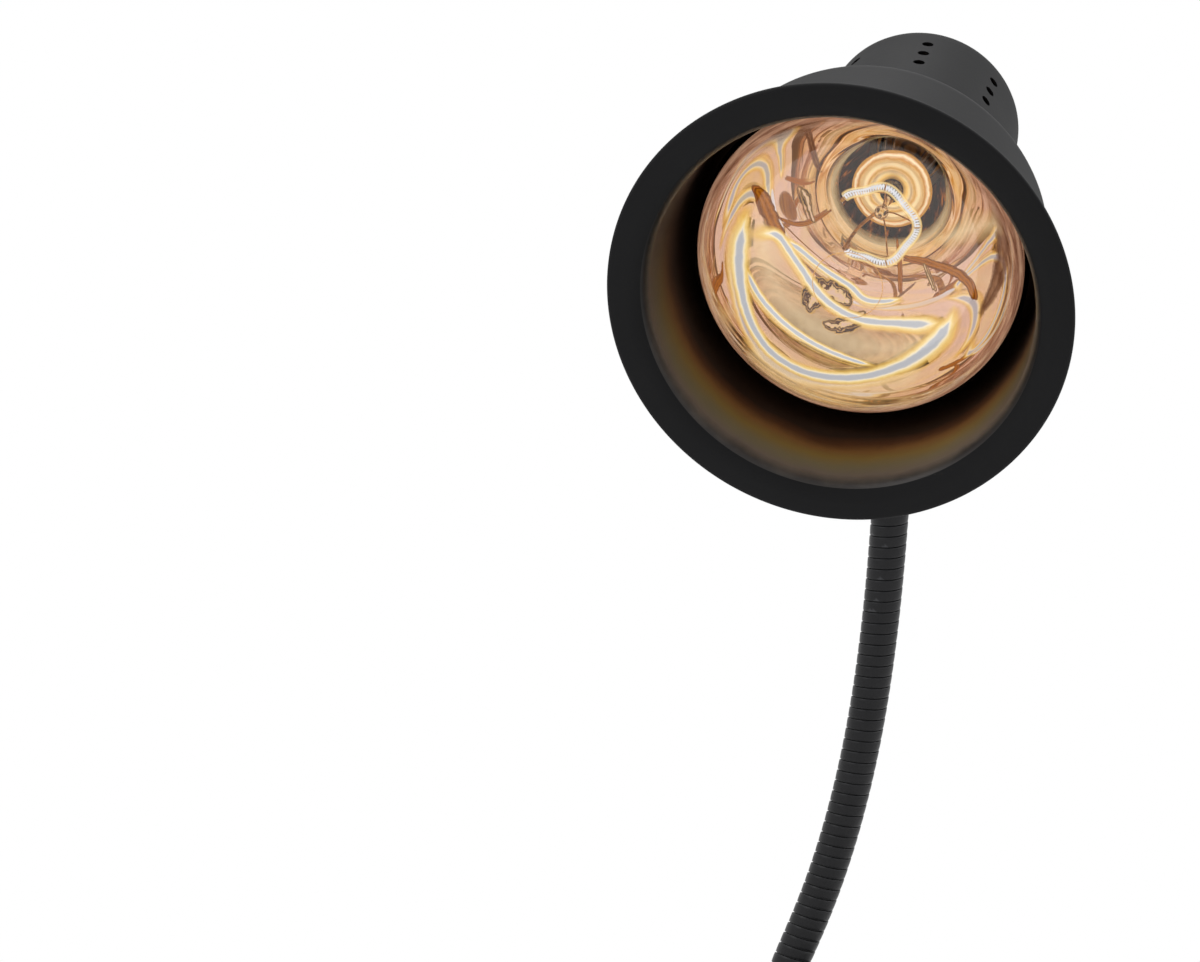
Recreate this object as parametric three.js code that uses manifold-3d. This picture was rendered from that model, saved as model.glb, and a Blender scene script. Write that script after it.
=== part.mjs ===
// Food-warming heat lamp: a spun black shade with a reflector bulb, carried by a strip-wound
// flexible neck on a round weighted base with a rocker switch. Millimetres, +Z up.
// The frame's origin is on the standing surface, under the middle of the whole lamp.

import * as THREE from 'three';
import { mergeVertices } from 'three/addons/utils/BufferGeometryUtils.js';
import Module from 'manifold-3d';

const wasm = await Module();
wasm.setup();

// The neck's foot stands this far behind the frame's origin, as the head reaches forward
const neckFootBehind = 163.5;

// Fits between neighbouring pieces
const seatGap = 0.3;            // faces that bear on each other
const runningGap = 0.35;        // a pin in its hole, a piece that slides in another
const screwHoleGap = 0.4;       // a screw's shank in its hole, on the radius

// How far a cutting body reaches past the face it opens
const cutPast = 1;

// Shape of a pan-head screw's head: its flat as a share of the radius, its rim of the height
const panHead = { flat: 0.7, rim: 0.4 };

// Flats in a full turn of small holes and screws, of bores, and of turned pieces
const holeSides = 8;
const boreSides = 10;
const smallSides = 16;
const turnedSides = 20;

// Base: a spun steel housing over a cast weight, closed by a plate on rubber feet
const baseRadius = 125;
const baseHeight = 46;
const baseWall = 1.5;
const baseEdgeRadius = 8;       // the round between the base's side and its top
const housingLift = 5;          // the housing's lower edge above the standing surface
const footHeight = 6;
const footRadius = 10;
const footTaper = 1;
const footRecessDepth = 3;
const footInset = 25;           // from the base's side to the middle of a foot
const footScrewRadius = 2;
const footScrewHeadRadius = 3.6;
const footScrewHeadHeight = 2;
const footScrewGrip = 9;        // how far a foot's screw reaches into the weight
const housingSides = 40;
const plateThickness = 2;
const weightInset = 13;         // from the base's side to the weight
const weightThickness = 12;
const weightEdgeRadius = 2.5;
const hubRadius = 22;
const hubFillet = { out: 2, up: 3 };
const hubRoofThickness = 10;    // the weight's hub above the nut, clamped under the housing
const hubCounterboreRadius = 16;
const hubSlotWidth = 12;        // the wires' way out of the hub

// Threaded tubes that clamp the neck to the base and to the shade
const tubeRadius = 4.9;
const tubeBoreRadius = 3.4;
const tubeGripInNeck = 11;
const tubeBeyondNut = 2;
const nutAcrossFlats = 15;
const nutThickness = 4;
const washerRadius = 11;
const washerThickness = 1.2;

// Collars: the turned sleeves in which the two ends of the neck sit
const collarFloor = 4.7;
const collarSocketDepth = 14;
const collarWall = 2.6;
const collarFlangeRadius = 19;
const collarFlangeHeight = 3.5;
const headCollarFlangeRadius = 15;
const collarCorner = 1;
const collarFillet = 3;         // the round from the flange up to the sleeve

// Neck: wound steel strip, cut here into links that turn on one another
const neckRadius = 9;
const neckBoreRadius = 6.5;
const neckLinkCount = 16;
const ribsPerLink = 7;
const ribStep = 0.8;            // how far each turn's upper edge tucks under the next turn
const ribLap = 0.35;
const linkBallRadius = 13;      // a link's domed end, about its hinge point
const linkBallGap = 0.45;
const neckSides = 8;
const neckBoreSteps = 1;

// The neck's route as it stands: knots from the neck's foot, with the heading there as a
// turn to the right and a rise, and the reach of the curve's handles before and after it
const neckLowKnot = { at: [17.9, -4.1, 83], turn: 103, rise: 66.3, before: 25, after: 68 };
const neckHighKnot = { at: [55.8, -41.8, 278.1], turn: 169.5, rise: 74.1, before: 67, after: 75 };
const neckEndAt = [52.7, -246.8, 437.2];
const neckStraightEnd = 19;     // the neck runs straight this far out of each collar's floor
const neckFootReach = 25;
const neckEndReach = 112;

// Head: its axis runs from the middle of the mouth back to the cap
const headRise = 30.8;          // degrees that the axis rises towards the back
const headTurn = 16.9;          // degrees that the back of the axis swings to the right
const shadeDepth = 199.4;
const shadeWall = 1;
const lipWidth = 15;            // from the mouth to the outer edge of the lip
const lipRoundRadius = 8;       // the round from the skirt into the flat lip
const lipEdgeRadius = 1.6;
const mouthClearance = 7.5;     // from the bulb's widest circle to the mouth
const skirtClearance = 4;       // from the bulb's widest circle to the skirt's outside
const shoulderBehindBulb = 20.5; // from the bulb's widest circle back to the shoulder
const shoulderRound = 15.6;
const shoulderSlope = 12.5;     // degrees that the shoulder climbs towards the cap
const capRadius = 40.3;
const capFootRound = 7;
const capEndRound = 9.2;
const ventRowCount = 8;
const ventsPerRow = 3;
const ventRadius = 2.35;
const ventPitch = 11;
const firstVentInset = 42.9;    // from the cap's end to the middle of a row's first vent
const ventRowTurn = 12.5;       // degrees from the head's own X axis to the first row
const shadeSides = 40;

// Lampholder: a glazed ceramic body on a steel strap, with a brass screw shell
const strapLength = 52;
const strapWidth = 16;
const strapThickness = 2;
const strapCorner = 5;
const holderRadius = 24;
const holderFrontRadius = 19.5;
const holderLength = 34.6;
const holderShoulder = 14;      // length of the wide rear part
const holderNutPocketRadius = 11;
const holderNutPocketDepth = 5.6;
const holderPartition = 3;
const holderContactHeight = 3;  // from the end of the bulb to the bottom of the shell's cavity
const holderContactInset = 1;   // from the side of the bulb's contact to that of the holder's
const holderContactHead = 0.8;
const contactPinRadius = 1.5;
const contactPinInset = 1;      // from the pocket's floor to the end of the pin
const holderCorner = 1;
const holderTaper = 4;          // height over which the body widens to its rear part
const holderScrewCircle = 19.2;
const holderScrewRadius = 1.6;
const holderScrewHeadRadius = 3;
const holderScrewHeadHeight = 2.2;
const holderScrewSeat = 3;      // the screws bear this far behind the body's step
const shellWall = 0.6;
const shellLength = 24;

// Bulb: reflector lamp with a screw base
const bulbLength = 163;
const bulbRadius = 63.5;
const bulbWidestDepth = 28;     // from the middle of the face to the widest circle
const bulbFaceSag = 13;
const bulbFaceRadius = 52;      // where the face turns into the rounded edge
const bulbEdgeReach = { out: 6.5, back: 3.4, forward: 8 }; // of the edge's curve handles
const bulbThroatRadius = 23;    // where the reflector bowl meets the neck of the glass
const bulbThroatBeforeEnd = 64;
const bulbBowlReach = 25.6;     // how far the bowl keeps its width behind the widest circle
const bulbBowlTurn = { radius: 30.3, beforeThroat: 38 };
const bulbNeckRadius = 17;
const bulbNeckBeforeEnd = 29;
const bulbWall = 1.2;
const bulbCapRadius = 13.1;
const bulbCapWall = 0.45;
const bulbCapLength = 21;
const bulbCapCorner = 1.5;
const bulbCapLip = 4;           // the cap's turned-in edge, round the insulator
const glassInCap = 8;           // length of the glass's end inside the cap
const bulbEndLength = 4;        // the insulator and the contact behind the cap
const bulbContactRadius = 4.8;
const bulbContactHeight = 0.9;
const insulatorBore = 2;
const insulatorInset = 2;       // from the cap's side to the insulator's
const stemTubeRadius = 4.2;
const stemLength = 52;
const stemFlareRadius = 11.2;
const stemFlareLength = 14;
const stemWall = 1.2;
const stemPressLength = 12;
const stemTipRound = { in: 0.6, back: 1.5 };
const stemInset = 0.5;          // from the glass's end to the stem's flare
const leadRadius = 0.7;
const leadSpacing = 4.8;
const leadPress = 4;            // how far the leads reach into the stem's pressed tip
const leadSpread = 0.75;        // halfway out, as a share of the filament's ring
const filamentRadius = 1.1;
const filamentRingRadius = 16;
const filamentAhead = 32.5;      // from the stem's tip forward to the filament
const filamentEnds = [-137, 146]; // degrees round the ring, from one lead to the other
const arborRadius = 1.2;        // the glass rod in front of the stem
const buttonRadius = 2.8;       // the rod's end, which holds the supports
const buttonFlat = 0.6;         // of the button's front, as a share of its radius
const buttonAhead = 19.5;        // from the stem's tip forward to the button
const supportRadius = 0.4;
const supportTurns = [-70, 5, 80];
const supportBend = { radius: 5.6, forward: 1 }; // where a support leaves the button
const heatDiscRadius = 16;
const heatDiscBehind = 4.5;      // from the stem's tip back to the disc
const heatDiscThickness = 0.6;
const bulbSides = 26;

// Rocker switch in the top of the base
const switchInset = 45;         // from the base's side to the middle of the switch
const switchLength = 20.5;
const switchWidth = 14;
const switchDepth = 16;
const bezelLength = 25;
const bezelWidth = 18.5;
const bezelHeight = 2;
const bezelCorner = 1.5;
const rockerWidth = 10;
const rockerRadius = 8.3;
const rockerValley = 1.4;       // height of the rocker's middle above its pivot
const rockerSlope = 12;         // degrees of each face, and of the tilt at rest
const rockerUnderside = 5;
const rockerFaceReach = 0.92;   // length of a face, as a share of the rocker's radius
const rockerPinRadius = 1.2;
const rockerPinLength = 1.2;
const pivotBelowBezelTop = 1.7;
const switchWell = 11;          // depth of the body's hollow below its rim
const tabWidth = 4.8;
const tabThickness = 0.8;
const tabLength = 6;
const tabGrip = 2;
const tabSpacing = 10;

// Cord gland in the back of the base, and the terminal block inside
const glandHeight = 29;
const glandThreadRadius = 6;
const glandFlangeRadius = 8.2;
const glandFlangeThickness = 3;
const glandNoseRadius = 6.2;
const glandNoseLength = 11;
const glandNoseTaper = 1.5;
const glandNoseFoot = 2;        // length of the nose before it tapers
const glandBeyondNut = 1;
const glandBoreRadius = 3.8;
const glandNutAcrossFlats = 16;
const glandNutThickness = 3.5;
const blockInset = 67;          // from the base's side to the middle of the block
const blockLength = 26;
const blockWidth = 15;
const blockHeight = 12;
const blockWayRadius = 2.2;
const blockWaySpacing = 10;

// Finishes
function finish(colour, roughness, metalness) {
  return new THREE.MeshStandardMaterial({ color: colour, roughness, metalness });
}
const blackCoat = finish(0x2a2a2b, 0.55, 0.2);
const blackStrip = finish(0x2e2e2f, 0.42, 0.5);
const rubber = finish(0x1b1b1c, 0.9, 0);
const castIron = finish(0x4a4744, 0.8, 0.6);
const zincSteel = finish(0xb4b6b2, 0.4, 0.9);
const brass = finish(0xb9903f, 0.35, 0.9);
const ceramic = finish(0xe9e5da, 0.3, 0);
const blackPlastic = finish(0x1d1d1f, 0.45, 0);
const clearGlass = finish(0xd9b39c, 0.05, 0.1);
const stemGlass = finish(0xf2e2c4, 0.1, 0);
const tungsten = finish(0xfff3c8, 0.4, 0.5);

// Geometry tools
const { cos, sin, sqrt, tan, PI } = Math;
const degrees = PI / 180;

function asSolid(geometry) {
  const bare = geometry.clone();
  bare.deleteAttribute('normal');
  bare.deleteAttribute('uv');
  const merged = mergeVertices(bare, 1e-4);
  return new wasm.Manifold(new wasm.Mesh({
    numProp: 3,
    vertProperties: new Float32Array(merged.attributes.position.array),
    triVerts: new Uint32Array(merged.index.array),
  }));
}

function asGeometry(solid) {
  const mesh = solid.getMesh();
  const geometry = new THREE.BufferGeometry();
  geometry.setAttribute('position', new THREE.BufferAttribute(mesh.vertProperties, 3));
  geometry.setIndex(new THREE.BufferAttribute(mesh.triVerts, 1));
  geometry.computeVertexNormals();
  return geometry;
}

function cut(body, ...tools) {
  return asGeometry(tools.reduce((left, tool) => left.subtract(asSolid(tool)), asSolid(body)));
}

function join(body, ...others) {
  return asGeometry(others.reduce((whole, other) => whole.add(asSolid(other)), asSolid(body)));
}

// Points of a circular arc in a profile, from one angle to another, in degrees
function arc(radius, height, arcRadius, from, to, steps) {
  return Array.from({ length: steps + 1 }, (_, i) => {
    const angle = (from + (to - from) * i / steps) * degrees;
    return [radius + arcRadius * cos(angle), height + arcRadius * sin(angle)];
  });
}

// A closed profile of [radius, height] points revolved about Z
function turned(profile, sides) {
  const points = profile.map(([radius, height]) => new THREE.Vector2(Math.max(radius, 0), height));
  if (THREE.ShapeUtils.area(points) < 0) points.reverse();
  const onAxis = points.findIndex((point, i) =>
    point.x === 0 && points[(i + points.length - 1) % points.length].x === 0);
  if (onAxis >= 0) points.push(...points.splice(0, onAxis));
  else points.push(points[0].clone());
  return new THREE.LatheGeometry(points, sides).rotateX(PI / 2);
}

function drum(radius, bottom, top, sides) {
  return turned([[0, bottom], [radius, bottom], [radius, top], [0, top]], sides);
}

function ring(radius, bore, bottom, top, sides) {
  return turned([[bore, bottom], [radius, bottom], [radius, top], [bore, top]], sides);
}

// A flat outline with its holes, raised from one height to another
function plate(outline, holes, bottom, top) {
  outline.holes.push(...holes);
  const options = { depth: top - bottom, bevelEnabled: false, curveSegments: 4 };
  return new THREE.ExtrudeGeometry(outline, options).translate(0, 0, bottom);
}

function circlePoints(x, y, radius, sides) {
  return Array.from({ length: sides }, (_, i) => new THREE.Vector2(
    x + radius * cos(2 * PI * i / sides), y + radius * sin(2 * PI * i / sides)));
}

function roundHole(x, y, radius) {
  return new THREE.Path(circlePoints(x, y, radius, boreSides));
}

function roundedRectangle(width, length, round) {
  const x = width / 2;
  const y = length / 2;
  const shape = new THREE.Shape();
  shape.absarc(x - round, y - round, round, 0, PI / 2);
  shape.absarc(round - x, y - round, round, PI / 2, PI);
  shape.absarc(round - x, round - y, round, PI, 1.5 * PI);
  shape.absarc(x - round, round - y, round, 1.5 * PI, 2 * PI);
  shape.closePath();
  return shape;
}

function hexagon(acrossFlats) {
  const corner = acrossFlats / sqrt(3);
  return new THREE.Shape(Array.from({ length: 6 }, (_, i) =>
    new THREE.Vector2(corner * cos(i * PI / 3), corner * sin(i * PI / 3))));
}

function nut(acrossFlats, bore, bottom, top) {
  return plate(hexagon(acrossFlats), [roundHole(0, 0, bore)], bottom, top);
}

// A pan-head screw standing on its head, with the head's bearing face at the given height
function screw(shankRadius, headRadius, headHeight, bearing, tip) {
  return turned([
    [0, bearing - headHeight], [headRadius * panHead.flat, bearing - headHeight],
    [headRadius, bearing - headHeight * panHead.rim], [headRadius, bearing],
    [shankRadius, bearing], [shankRadius, tip], [0, tip],
  ], holeSides);
}

const lamp = new THREE.Group();

function add(parent, name, geometry, material) {
  const mesh = new THREE.Mesh(geometry, material);
  mesh.name = name;
  parent.add(mesh);
  return mesh;
}

// Heights of the base, from the standing surface up
const plateBottom = footHeight + seatGap;
const plateTop = plateBottom + plateThickness;
const weightBottom = plateTop + seatGap;
const weightTop = weightBottom + weightThickness;
const hubTop = baseHeight - baseWall - seatGap;
const hubRoofBottom = hubTop - hubRoofThickness;
const tubeHoleRadius = tubeRadius + runningGap;
const footScrewHoleRadius = footScrewRadius + screwHoleGap;
const footCircleRadius = baseRadius - footInset;
const weightRadius = baseRadius - weightInset;
const switchDistance = baseRadius - switchInset;
const blockDistance = baseRadius - blockInset;
const footPlaces = [45, 135, 225, 315].map((angle) =>
  [footCircleRadius * cos(angle * degrees), footCircleRadius * sin(angle * degrees)]);

const base = new THREE.Group();
lamp.add(base);

// Rubber feet and the screws that hold feet and plate to the weight
const footTread = footRadius - footTaper;
const footBearing = footRecessDepth;
const foot = turned([
  [footScrewHeadRadius + screwHoleGap, 0], [footTread, 0], [footRadius, footHeight],
  [footScrewHoleRadius, footHeight], [footScrewHoleRadius, footBearing],
  [footScrewHeadRadius + screwHoleGap, footBearing],
], 12);
const footScrew = screw(footScrewRadius, footScrewHeadRadius, footScrewHeadHeight,
  footBearing - seatGap, weightBottom + footScrewGrip);
footPlaces.forEach(([x, y], i) => {
  add(base, `rubber_foot_${i + 1}`, foot.clone(), rubber).position.set(x, y, 0);
  add(base, `foot_screw_${i + 1}`, footScrew.clone(), zincSteel).position.set(x, y, 0);
});

// Base plate: a disc that closes the housing from below
const plateHoles = footPlaces.map(([x, y]) => roundHole(x, y, footScrewHoleRadius));
const plateOutline = new THREE.Shape(
  circlePoints(0, 0, baseRadius - baseWall - 2 * runningGap, housingSides));
add(base, 'base_plate', plate(plateOutline, plateHoles, plateBottom, plateTop), zincSteel);

// Weight: a cast disc whose hub stands up to the housing and holds the neck's nut
const weightProfile = [
  [hubCounterboreRadius, weightBottom],
  ...arc(weightRadius - weightEdgeRadius, weightBottom + weightEdgeRadius,
    weightEdgeRadius, -90, 0, 1),
  ...arc(weightRadius - weightEdgeRadius, weightTop - weightEdgeRadius,
    weightEdgeRadius, 0, 90, 1),
  [hubRadius + hubFillet.out, weightTop], [hubRadius, weightTop + hubFillet.up],
  [hubRadius, hubTop],
  [tubeHoleRadius, hubTop], [tubeHoleRadius, hubRoofBottom],
  [hubCounterboreRadius, hubRoofBottom],
];
const screwPockets = footPlaces.map(([x, y]) =>
  drum(footScrewHoleRadius, weightBottom - cutPast,
    weightBottom + footScrewGrip + screwHoleGap, holeSides).translate(x, y, 0));
const slotBottom = weightTop + hubFillet.up;
const wireSlot = new THREE.BoxGeometry(hubSlotWidth, 2 * hubRadius, hubRoofBottom - slotBottom)
  .translate(0, hubRadius, (hubRoofBottom + slotBottom) / 2);
add(base, 'base_weight', cut(turned(weightProfile, 28), ...screwPockets, wireSlot), castIron);

// Housing: one spun shell, holed for the neck's tube, the switch and the gland
const housingRound = baseRadius - baseEdgeRadius;
const roundCentre = baseHeight - baseEdgeRadius;
const housingProfile = [
  [baseRadius, housingLift],
  ...arc(housingRound, roundCentre, baseEdgeRadius, 0, 90, 4),
  [tubeHoleRadius, baseHeight], [tubeHoleRadius, baseHeight - baseWall],
  ...arc(housingRound, roundCentre, baseEdgeRadius - baseWall, 90, 0, 3),
  [baseRadius - baseWall, housingLift],
];
const switchHole = new THREE.BoxGeometry(switchWidth + 2 * seatGap,
  switchLength + 2 * seatGap, 4 * baseWall).translate(0, -switchDistance, baseHeight);
const glandHole = drum(glandThreadRadius + screwHoleGap, 0, 2 * baseEdgeRadius, turnedSides)
  .rotateX(-PI / 2).translate(0, baseRadius - baseEdgeRadius, glandHeight);
add(base, 'base_housing', cut(turned(housingProfile, housingSides), switchHole, glandHole), blackCoat);

// Neck foot: collar on the housing, threaded tube down through the hub, washer and nut
const baseCollarBottom = baseHeight + seatGap;
const neckFootHeight = baseCollarBottom + collarFloor + seatGap;
const collarBore = neckRadius + seatGap;

function collar(flangeRadius) {
  const sleeve = collarBore + collarWall;
  const top = collarFloor + collarSocketDepth;
  return turned([
    [tubeHoleRadius, 0], [flangeRadius, 0], [flangeRadius, collarFlangeHeight - collarCorner],
    [flangeRadius - collarCorner, collarFlangeHeight],
    ...arc(sleeve + collarFillet, collarFlangeHeight + collarFillet, collarFillet, 270, 180, 1),
    [sleeve, top - collarCorner], [sleeve - collarCorner, top],
    [collarBore, top], [collarBore, collarFloor], [tubeHoleRadius, collarFloor],
  ], turnedSides);
}

add(base, 'base_collar', collar(collarFlangeRadius), blackCoat)
  .position.set(0, 0, baseCollarBottom);
const washerTop = hubRoofBottom - seatGap;
const washerBottom = washerTop - washerThickness;
const baseNutTop = washerBottom - seatGap;
const baseNutBottom = baseNutTop - nutThickness;
add(base, 'base_washer', ring(washerRadius, tubeHoleRadius, washerBottom, washerTop, turnedSides),
  zincSteel);
add(base, 'base_nut', nut(nutAcrossFlats, tubeRadius + seatGap, baseNutBottom, baseNutTop),
  zincSteel);
add(base, 'base_threaded_tube', ring(tubeRadius, tubeBoreRadius, baseNutBottom - tubeBeyondNut,
  neckFootHeight + tubeGripInNeck, smallSides), zincSteel);

// Rocker switch: body with its bezel in the housing's top, rocker on two pins, two tabs
const bezelBottom = baseHeight + seatGap;
const bezelTop = bezelBottom + bezelHeight;
const bodyBottom = baseHeight - switchDepth;
const pivotHeight = bezelTop - pivotBelowBezelTop;
const wellHalfLength = rockerRadius + runningGap;
const wellWidth = rockerWidth + 2 * runningGap;
const tabPlaces = [-tabSpacing / 2, tabSpacing / 2];

const switchGroup = new THREE.Group();
switchGroup.position.set(0, -switchDistance, 0);
base.add(switchGroup);

function tabBox(clearance) {
  const length = tabLength + tabGrip;
  return new THREE.BoxGeometry(tabWidth + 2 * clearance, tabThickness + 2 * clearance,
    length + 2 * clearance).translate(0, 0, bodyBottom + tabGrip - length / 2);
}

const bezel = plate(roundedRectangle(bezelWidth, bezelLength, bezelCorner), [], bezelBottom, bezelTop);
const switchBody = join(
  new THREE.BoxGeometry(switchWidth, switchLength, bezelTop - bodyBottom)
    .translate(0, 0, (bezelTop + bodyBottom) / 2), bezel);
const well = new THREE.BoxGeometry(wellWidth, 2 * wellHalfLength, 2 * switchWell)
  .translate(0, 0, bezelTop);
const pinHoles = drum(rockerPinRadius + runningGap,
  -rockerWidth / 2 - rockerPinLength - seatGap, rockerWidth / 2 + rockerPinLength + seatGap, boreSides)
  .rotateY(PI / 2).translate(0, 0, pivotHeight);
const tabSlots = tabPlaces.map((y) => tabBox(seatGap).translate(0, y, 0));
add(switchGroup, 'switch_body', cut(switchBody, well, pinHoles, ...tabSlots), blackPlastic);
tabPlaces.forEach((y, i) =>
  add(switchGroup, `switch_tab_${i + 1}`, tabBox(0).translate(0, y, 0), brass));

const rockerEnd = Math.asin((rockerValley + rockerRadius * rockerFaceReach * tan(rockerSlope * degrees))
  / rockerRadius) / degrees;
const rockerFloor = Math.asin(rockerUnderside / rockerRadius) / degrees;
const rockerOutline = [
  ...arc(0, 0, rockerRadius, 180 - rockerEnd, 180 + rockerFloor, 4),
  ...arc(0, 0, rockerRadius, 360 - rockerFloor, 360 + rockerEnd, 4),
  [0, rockerValley],
].map(([y, z]) => new THREE.Vector2(y, z));
const rockerBody = plate(new THREE.Shape(rockerOutline), [], -rockerWidth / 2, rockerWidth / 2);
const rockerPins = drum(rockerPinRadius, -rockerWidth / 2 - rockerPinLength,
  rockerWidth / 2 + rockerPinLength, holeSides);
const rockerMesh = add(switchGroup, 'switch_rocker', join(rockerBody, rockerPins)
  .rotateX(PI / 2).rotateZ(PI / 2), blackPlastic);
rockerMesh.position.set(0, 0, pivotHeight);
rockerMesh.rotation.x = rockerSlope * degrees;

// Cord gland: turned nose and flange outside, thread through the wall, nut inside
const glandSeat = baseRadius + seatGap;
const wallBehindGland = baseWall + seatGap + glandNutAcrossFlats ** 2 / (8 * baseRadius);
const glandNutFace = wallBehindGland + 2 * seatGap;
const glandThreadEnd = -glandNutFace - glandNutThickness - glandBeyondNut;
const gland = turned([
  [glandBoreRadius, glandNoseLength], [glandNoseRadius - glandNoseTaper, glandNoseLength],
  [glandNoseRadius, glandFlangeThickness + glandNoseFoot],
  [glandNoseRadius, glandFlangeThickness],
  [glandFlangeRadius, glandFlangeThickness], [glandFlangeRadius, 0], [glandThreadRadius, 0],
  [glandThreadRadius, glandThreadEnd], [glandBoreRadius, glandThreadEnd],
], smallSides).rotateX(-PI / 2);
add(base, 'cord_gland', gland, blackPlastic).position.set(0, glandSeat, glandHeight);
add(base, 'gland_nut', nut(glandNutAcrossFlats, glandThreadRadius + seatGap,
  -glandNutFace - glandNutThickness, -glandNutFace).rotateX(-PI / 2), blackPlastic)
  .position.set(0, glandSeat, glandHeight);

// Terminal block: ceramic, on the weight behind the hub, with two wire ways
const blockBottom = weightTop + seatGap;
const blockWays = [-blockWaySpacing / 2, blockWaySpacing / 2];
const blockBody = new THREE.BoxGeometry(blockLength, blockWidth, blockHeight);
const wireWays = blockWays.map((x) =>
  drum(blockWayRadius, -blockWidth, blockWidth, holeSides).rotateX(PI / 2).translate(x, 0, 0));
const screwWays = blockWays.map((x) => drum(blockWayRadius, 0, blockHeight, holeSides)
  .translate(x, 0, 0));
add(base, 'terminal_block', cut(blockBody, ...wireWays, ...screwWays), ceramic)
  .position.set(0, blockDistance, blockBottom + blockHeight / 2);

// The neck's centre line: three cubic curves, upright at the foot and on the head's axis
// at the end
function heading(turn, rise) {
  return new THREE.Vector3(sin(turn * degrees) * cos(rise * degrees),
    cos(turn * degrees) * cos(rise * degrees), sin(rise * degrees));
}
const up = new THREE.Vector3(0, 0, 1);
const headAxis = heading(headTurn, headRise);
const neckFoot = new THREE.Vector3(0, 0, neckFootHeight);
const neckEnd = neckFoot.clone().add(new THREE.Vector3(...neckEndAt));
const neckStops = [
  { at: neckFoot.clone().addScaledVector(up, neckStraightEnd), along: up, after: neckFootReach },
  ...[neckLowKnot, neckHighKnot].map((knot) => ({
    at: neckFoot.clone().add(new THREE.Vector3(...knot.at)),
    along: heading(knot.turn, knot.rise), before: knot.before, after: knot.after,
  })),
  {
    at: neckEnd.clone().addScaledVector(headAxis, neckStraightEnd),
    along: headAxis.clone().negate(), before: neckEndReach,
  },
];
const neckLine = new THREE.CurvePath();
neckLine.add(new THREE.LineCurve3(neckFoot, neckStops[0].at));
for (let i = 0; i + 1 < neckStops.length; i++) {
  const from = neckStops[i];
  const to = neckStops[i + 1];
  neckLine.add(new THREE.CubicBezierCurve3(from.at,
    from.at.clone().addScaledVector(from.along, from.after),
    to.at.clone().addScaledVector(to.along, -to.before), to.at));
}
neckLine.add(new THREE.LineCurve3(neckStops[3].at, neckEnd));

// Frames along the centre line, carried without twist from the foot
const frameStep = 0.5;
const neckLength = neckLine.getLength();
const frameCount = Math.ceil(neckLength / frameStep);
const neckFrames = [];
for (let i = 0; i <= frameCount; i++) {
  const along = neckLine.getTangent(i / frameCount);
  const last = i ? neckFrames[i - 1].across : new THREE.Vector3(1, 0, 0);
  const across = last.clone().addScaledVector(along, -last.dot(along)).normalize();
  neckFrames.push({ at: neckLine.getPoint(i / frameCount), along, across,
    fore: along.clone().cross(across) });
}

function frameAt(distance) {
  const share = Math.min(Math.max(distance / neckLength, 0), 1);
  return neckFrames[Math.round(share * frameCount)];
}

// Neck links: ribs outside, bore inside, a domed upper end in the next link's cupped end.
// Each end is about the hinge point, which lies inside the lower link.
const linkLength = neckLength / neckLinkCount;
const ribPitch = linkLength / ribsPerLink;
const ribRootRadius = neckRadius - ribStep;
const cupRadius = linkBallRadius + linkBallGap;
const cupRise = sqrt(cupRadius ** 2 - neckRadius ** 2);

function hingeDistance(joint) {
  return joint * linkLength - cupRise;
}

function ballRing(joint, ball, radius) {
  return { frame: frameAt(hingeDistance(joint)), rise: sqrt(ball ** 2 - radius ** 2), radius };
}

function neckRings(link) {
  const start = link * linkLength;
  const first = link === 0;
  const last = link === neckLinkCount - 1;
  const rings = [first ? { frame: frameAt(0), rise: 0, radius: neckRadius }
    : ballRing(link, cupRadius, neckRadius)];
  for (let rib = 1; rib < ribsPerLink; rib++) {
    const seam = start + rib * ribPitch;
    rings.push({ frame: frameAt(seam), rise: 0, radius: ribRootRadius });
    rings.push({ frame: frameAt(seam + ribLap), rise: 0, radius: neckRadius });
  }
  const end = { frame: frameAt(neckLength), rise: 0 };
  rings.push(last ? { ...end, radius: neckRadius }
    : ballRing(link + 1, linkBallRadius, ribRootRadius));
  rings.push(last ? { ...end, radius: neckBoreRadius }
    : ballRing(link + 1, linkBallRadius, neckBoreRadius));
  for (let i = neckBoreSteps; i > 0; i--) {
    const place = start + linkLength * i / (neckBoreSteps + 1);
    rings.push({ frame: frameAt(place), rise: 0, radius: neckBoreRadius });
  }
  rings.push(first ? { frame: frameAt(0), rise: 0, radius: neckBoreRadius }
    : ballRing(link, cupRadius, neckBoreRadius));
  return rings;
}

function neckLink(link) {
  const rings = neckRings(link);
  const positions = [];
  const faces = [];
  rings.forEach(({ frame, rise, radius }, i) => {
    const centre = frame.at.clone().addScaledVector(frame.along, rise);
    const next = (i + 1) % rings.length;
    for (let side = 0; side < neckSides; side++) {
      const angle = 2 * PI * side / neckSides;
      const point = centre.clone().addScaledVector(frame.across, radius * cos(angle))
        .addScaledVector(frame.fore, radius * sin(angle));
      positions.push(point.x, point.y, point.z);
      const beside = (side + 1) % neckSides;
      const a = i * neckSides + side;
      const b = i * neckSides + beside;
      const c = next * neckSides + beside;
      const d = next * neckSides + side;
      faces.push(a, b, c, a, c, d);
    }
  });
  const geometry = new THREE.BufferGeometry();
  geometry.setAttribute('position', new THREE.Float32BufferAttribute(positions, 3));
  geometry.setIndex(faces);
  geometry.computeVertexNormals();
  return geometry;
}

for (let link = 0; link < neckLinkCount; link++) {
  const name = `neck_link_${String(link + 1).padStart(2, '0')}`;
  add(lamp, name, neckLink(link), blackStrip);
}

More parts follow.
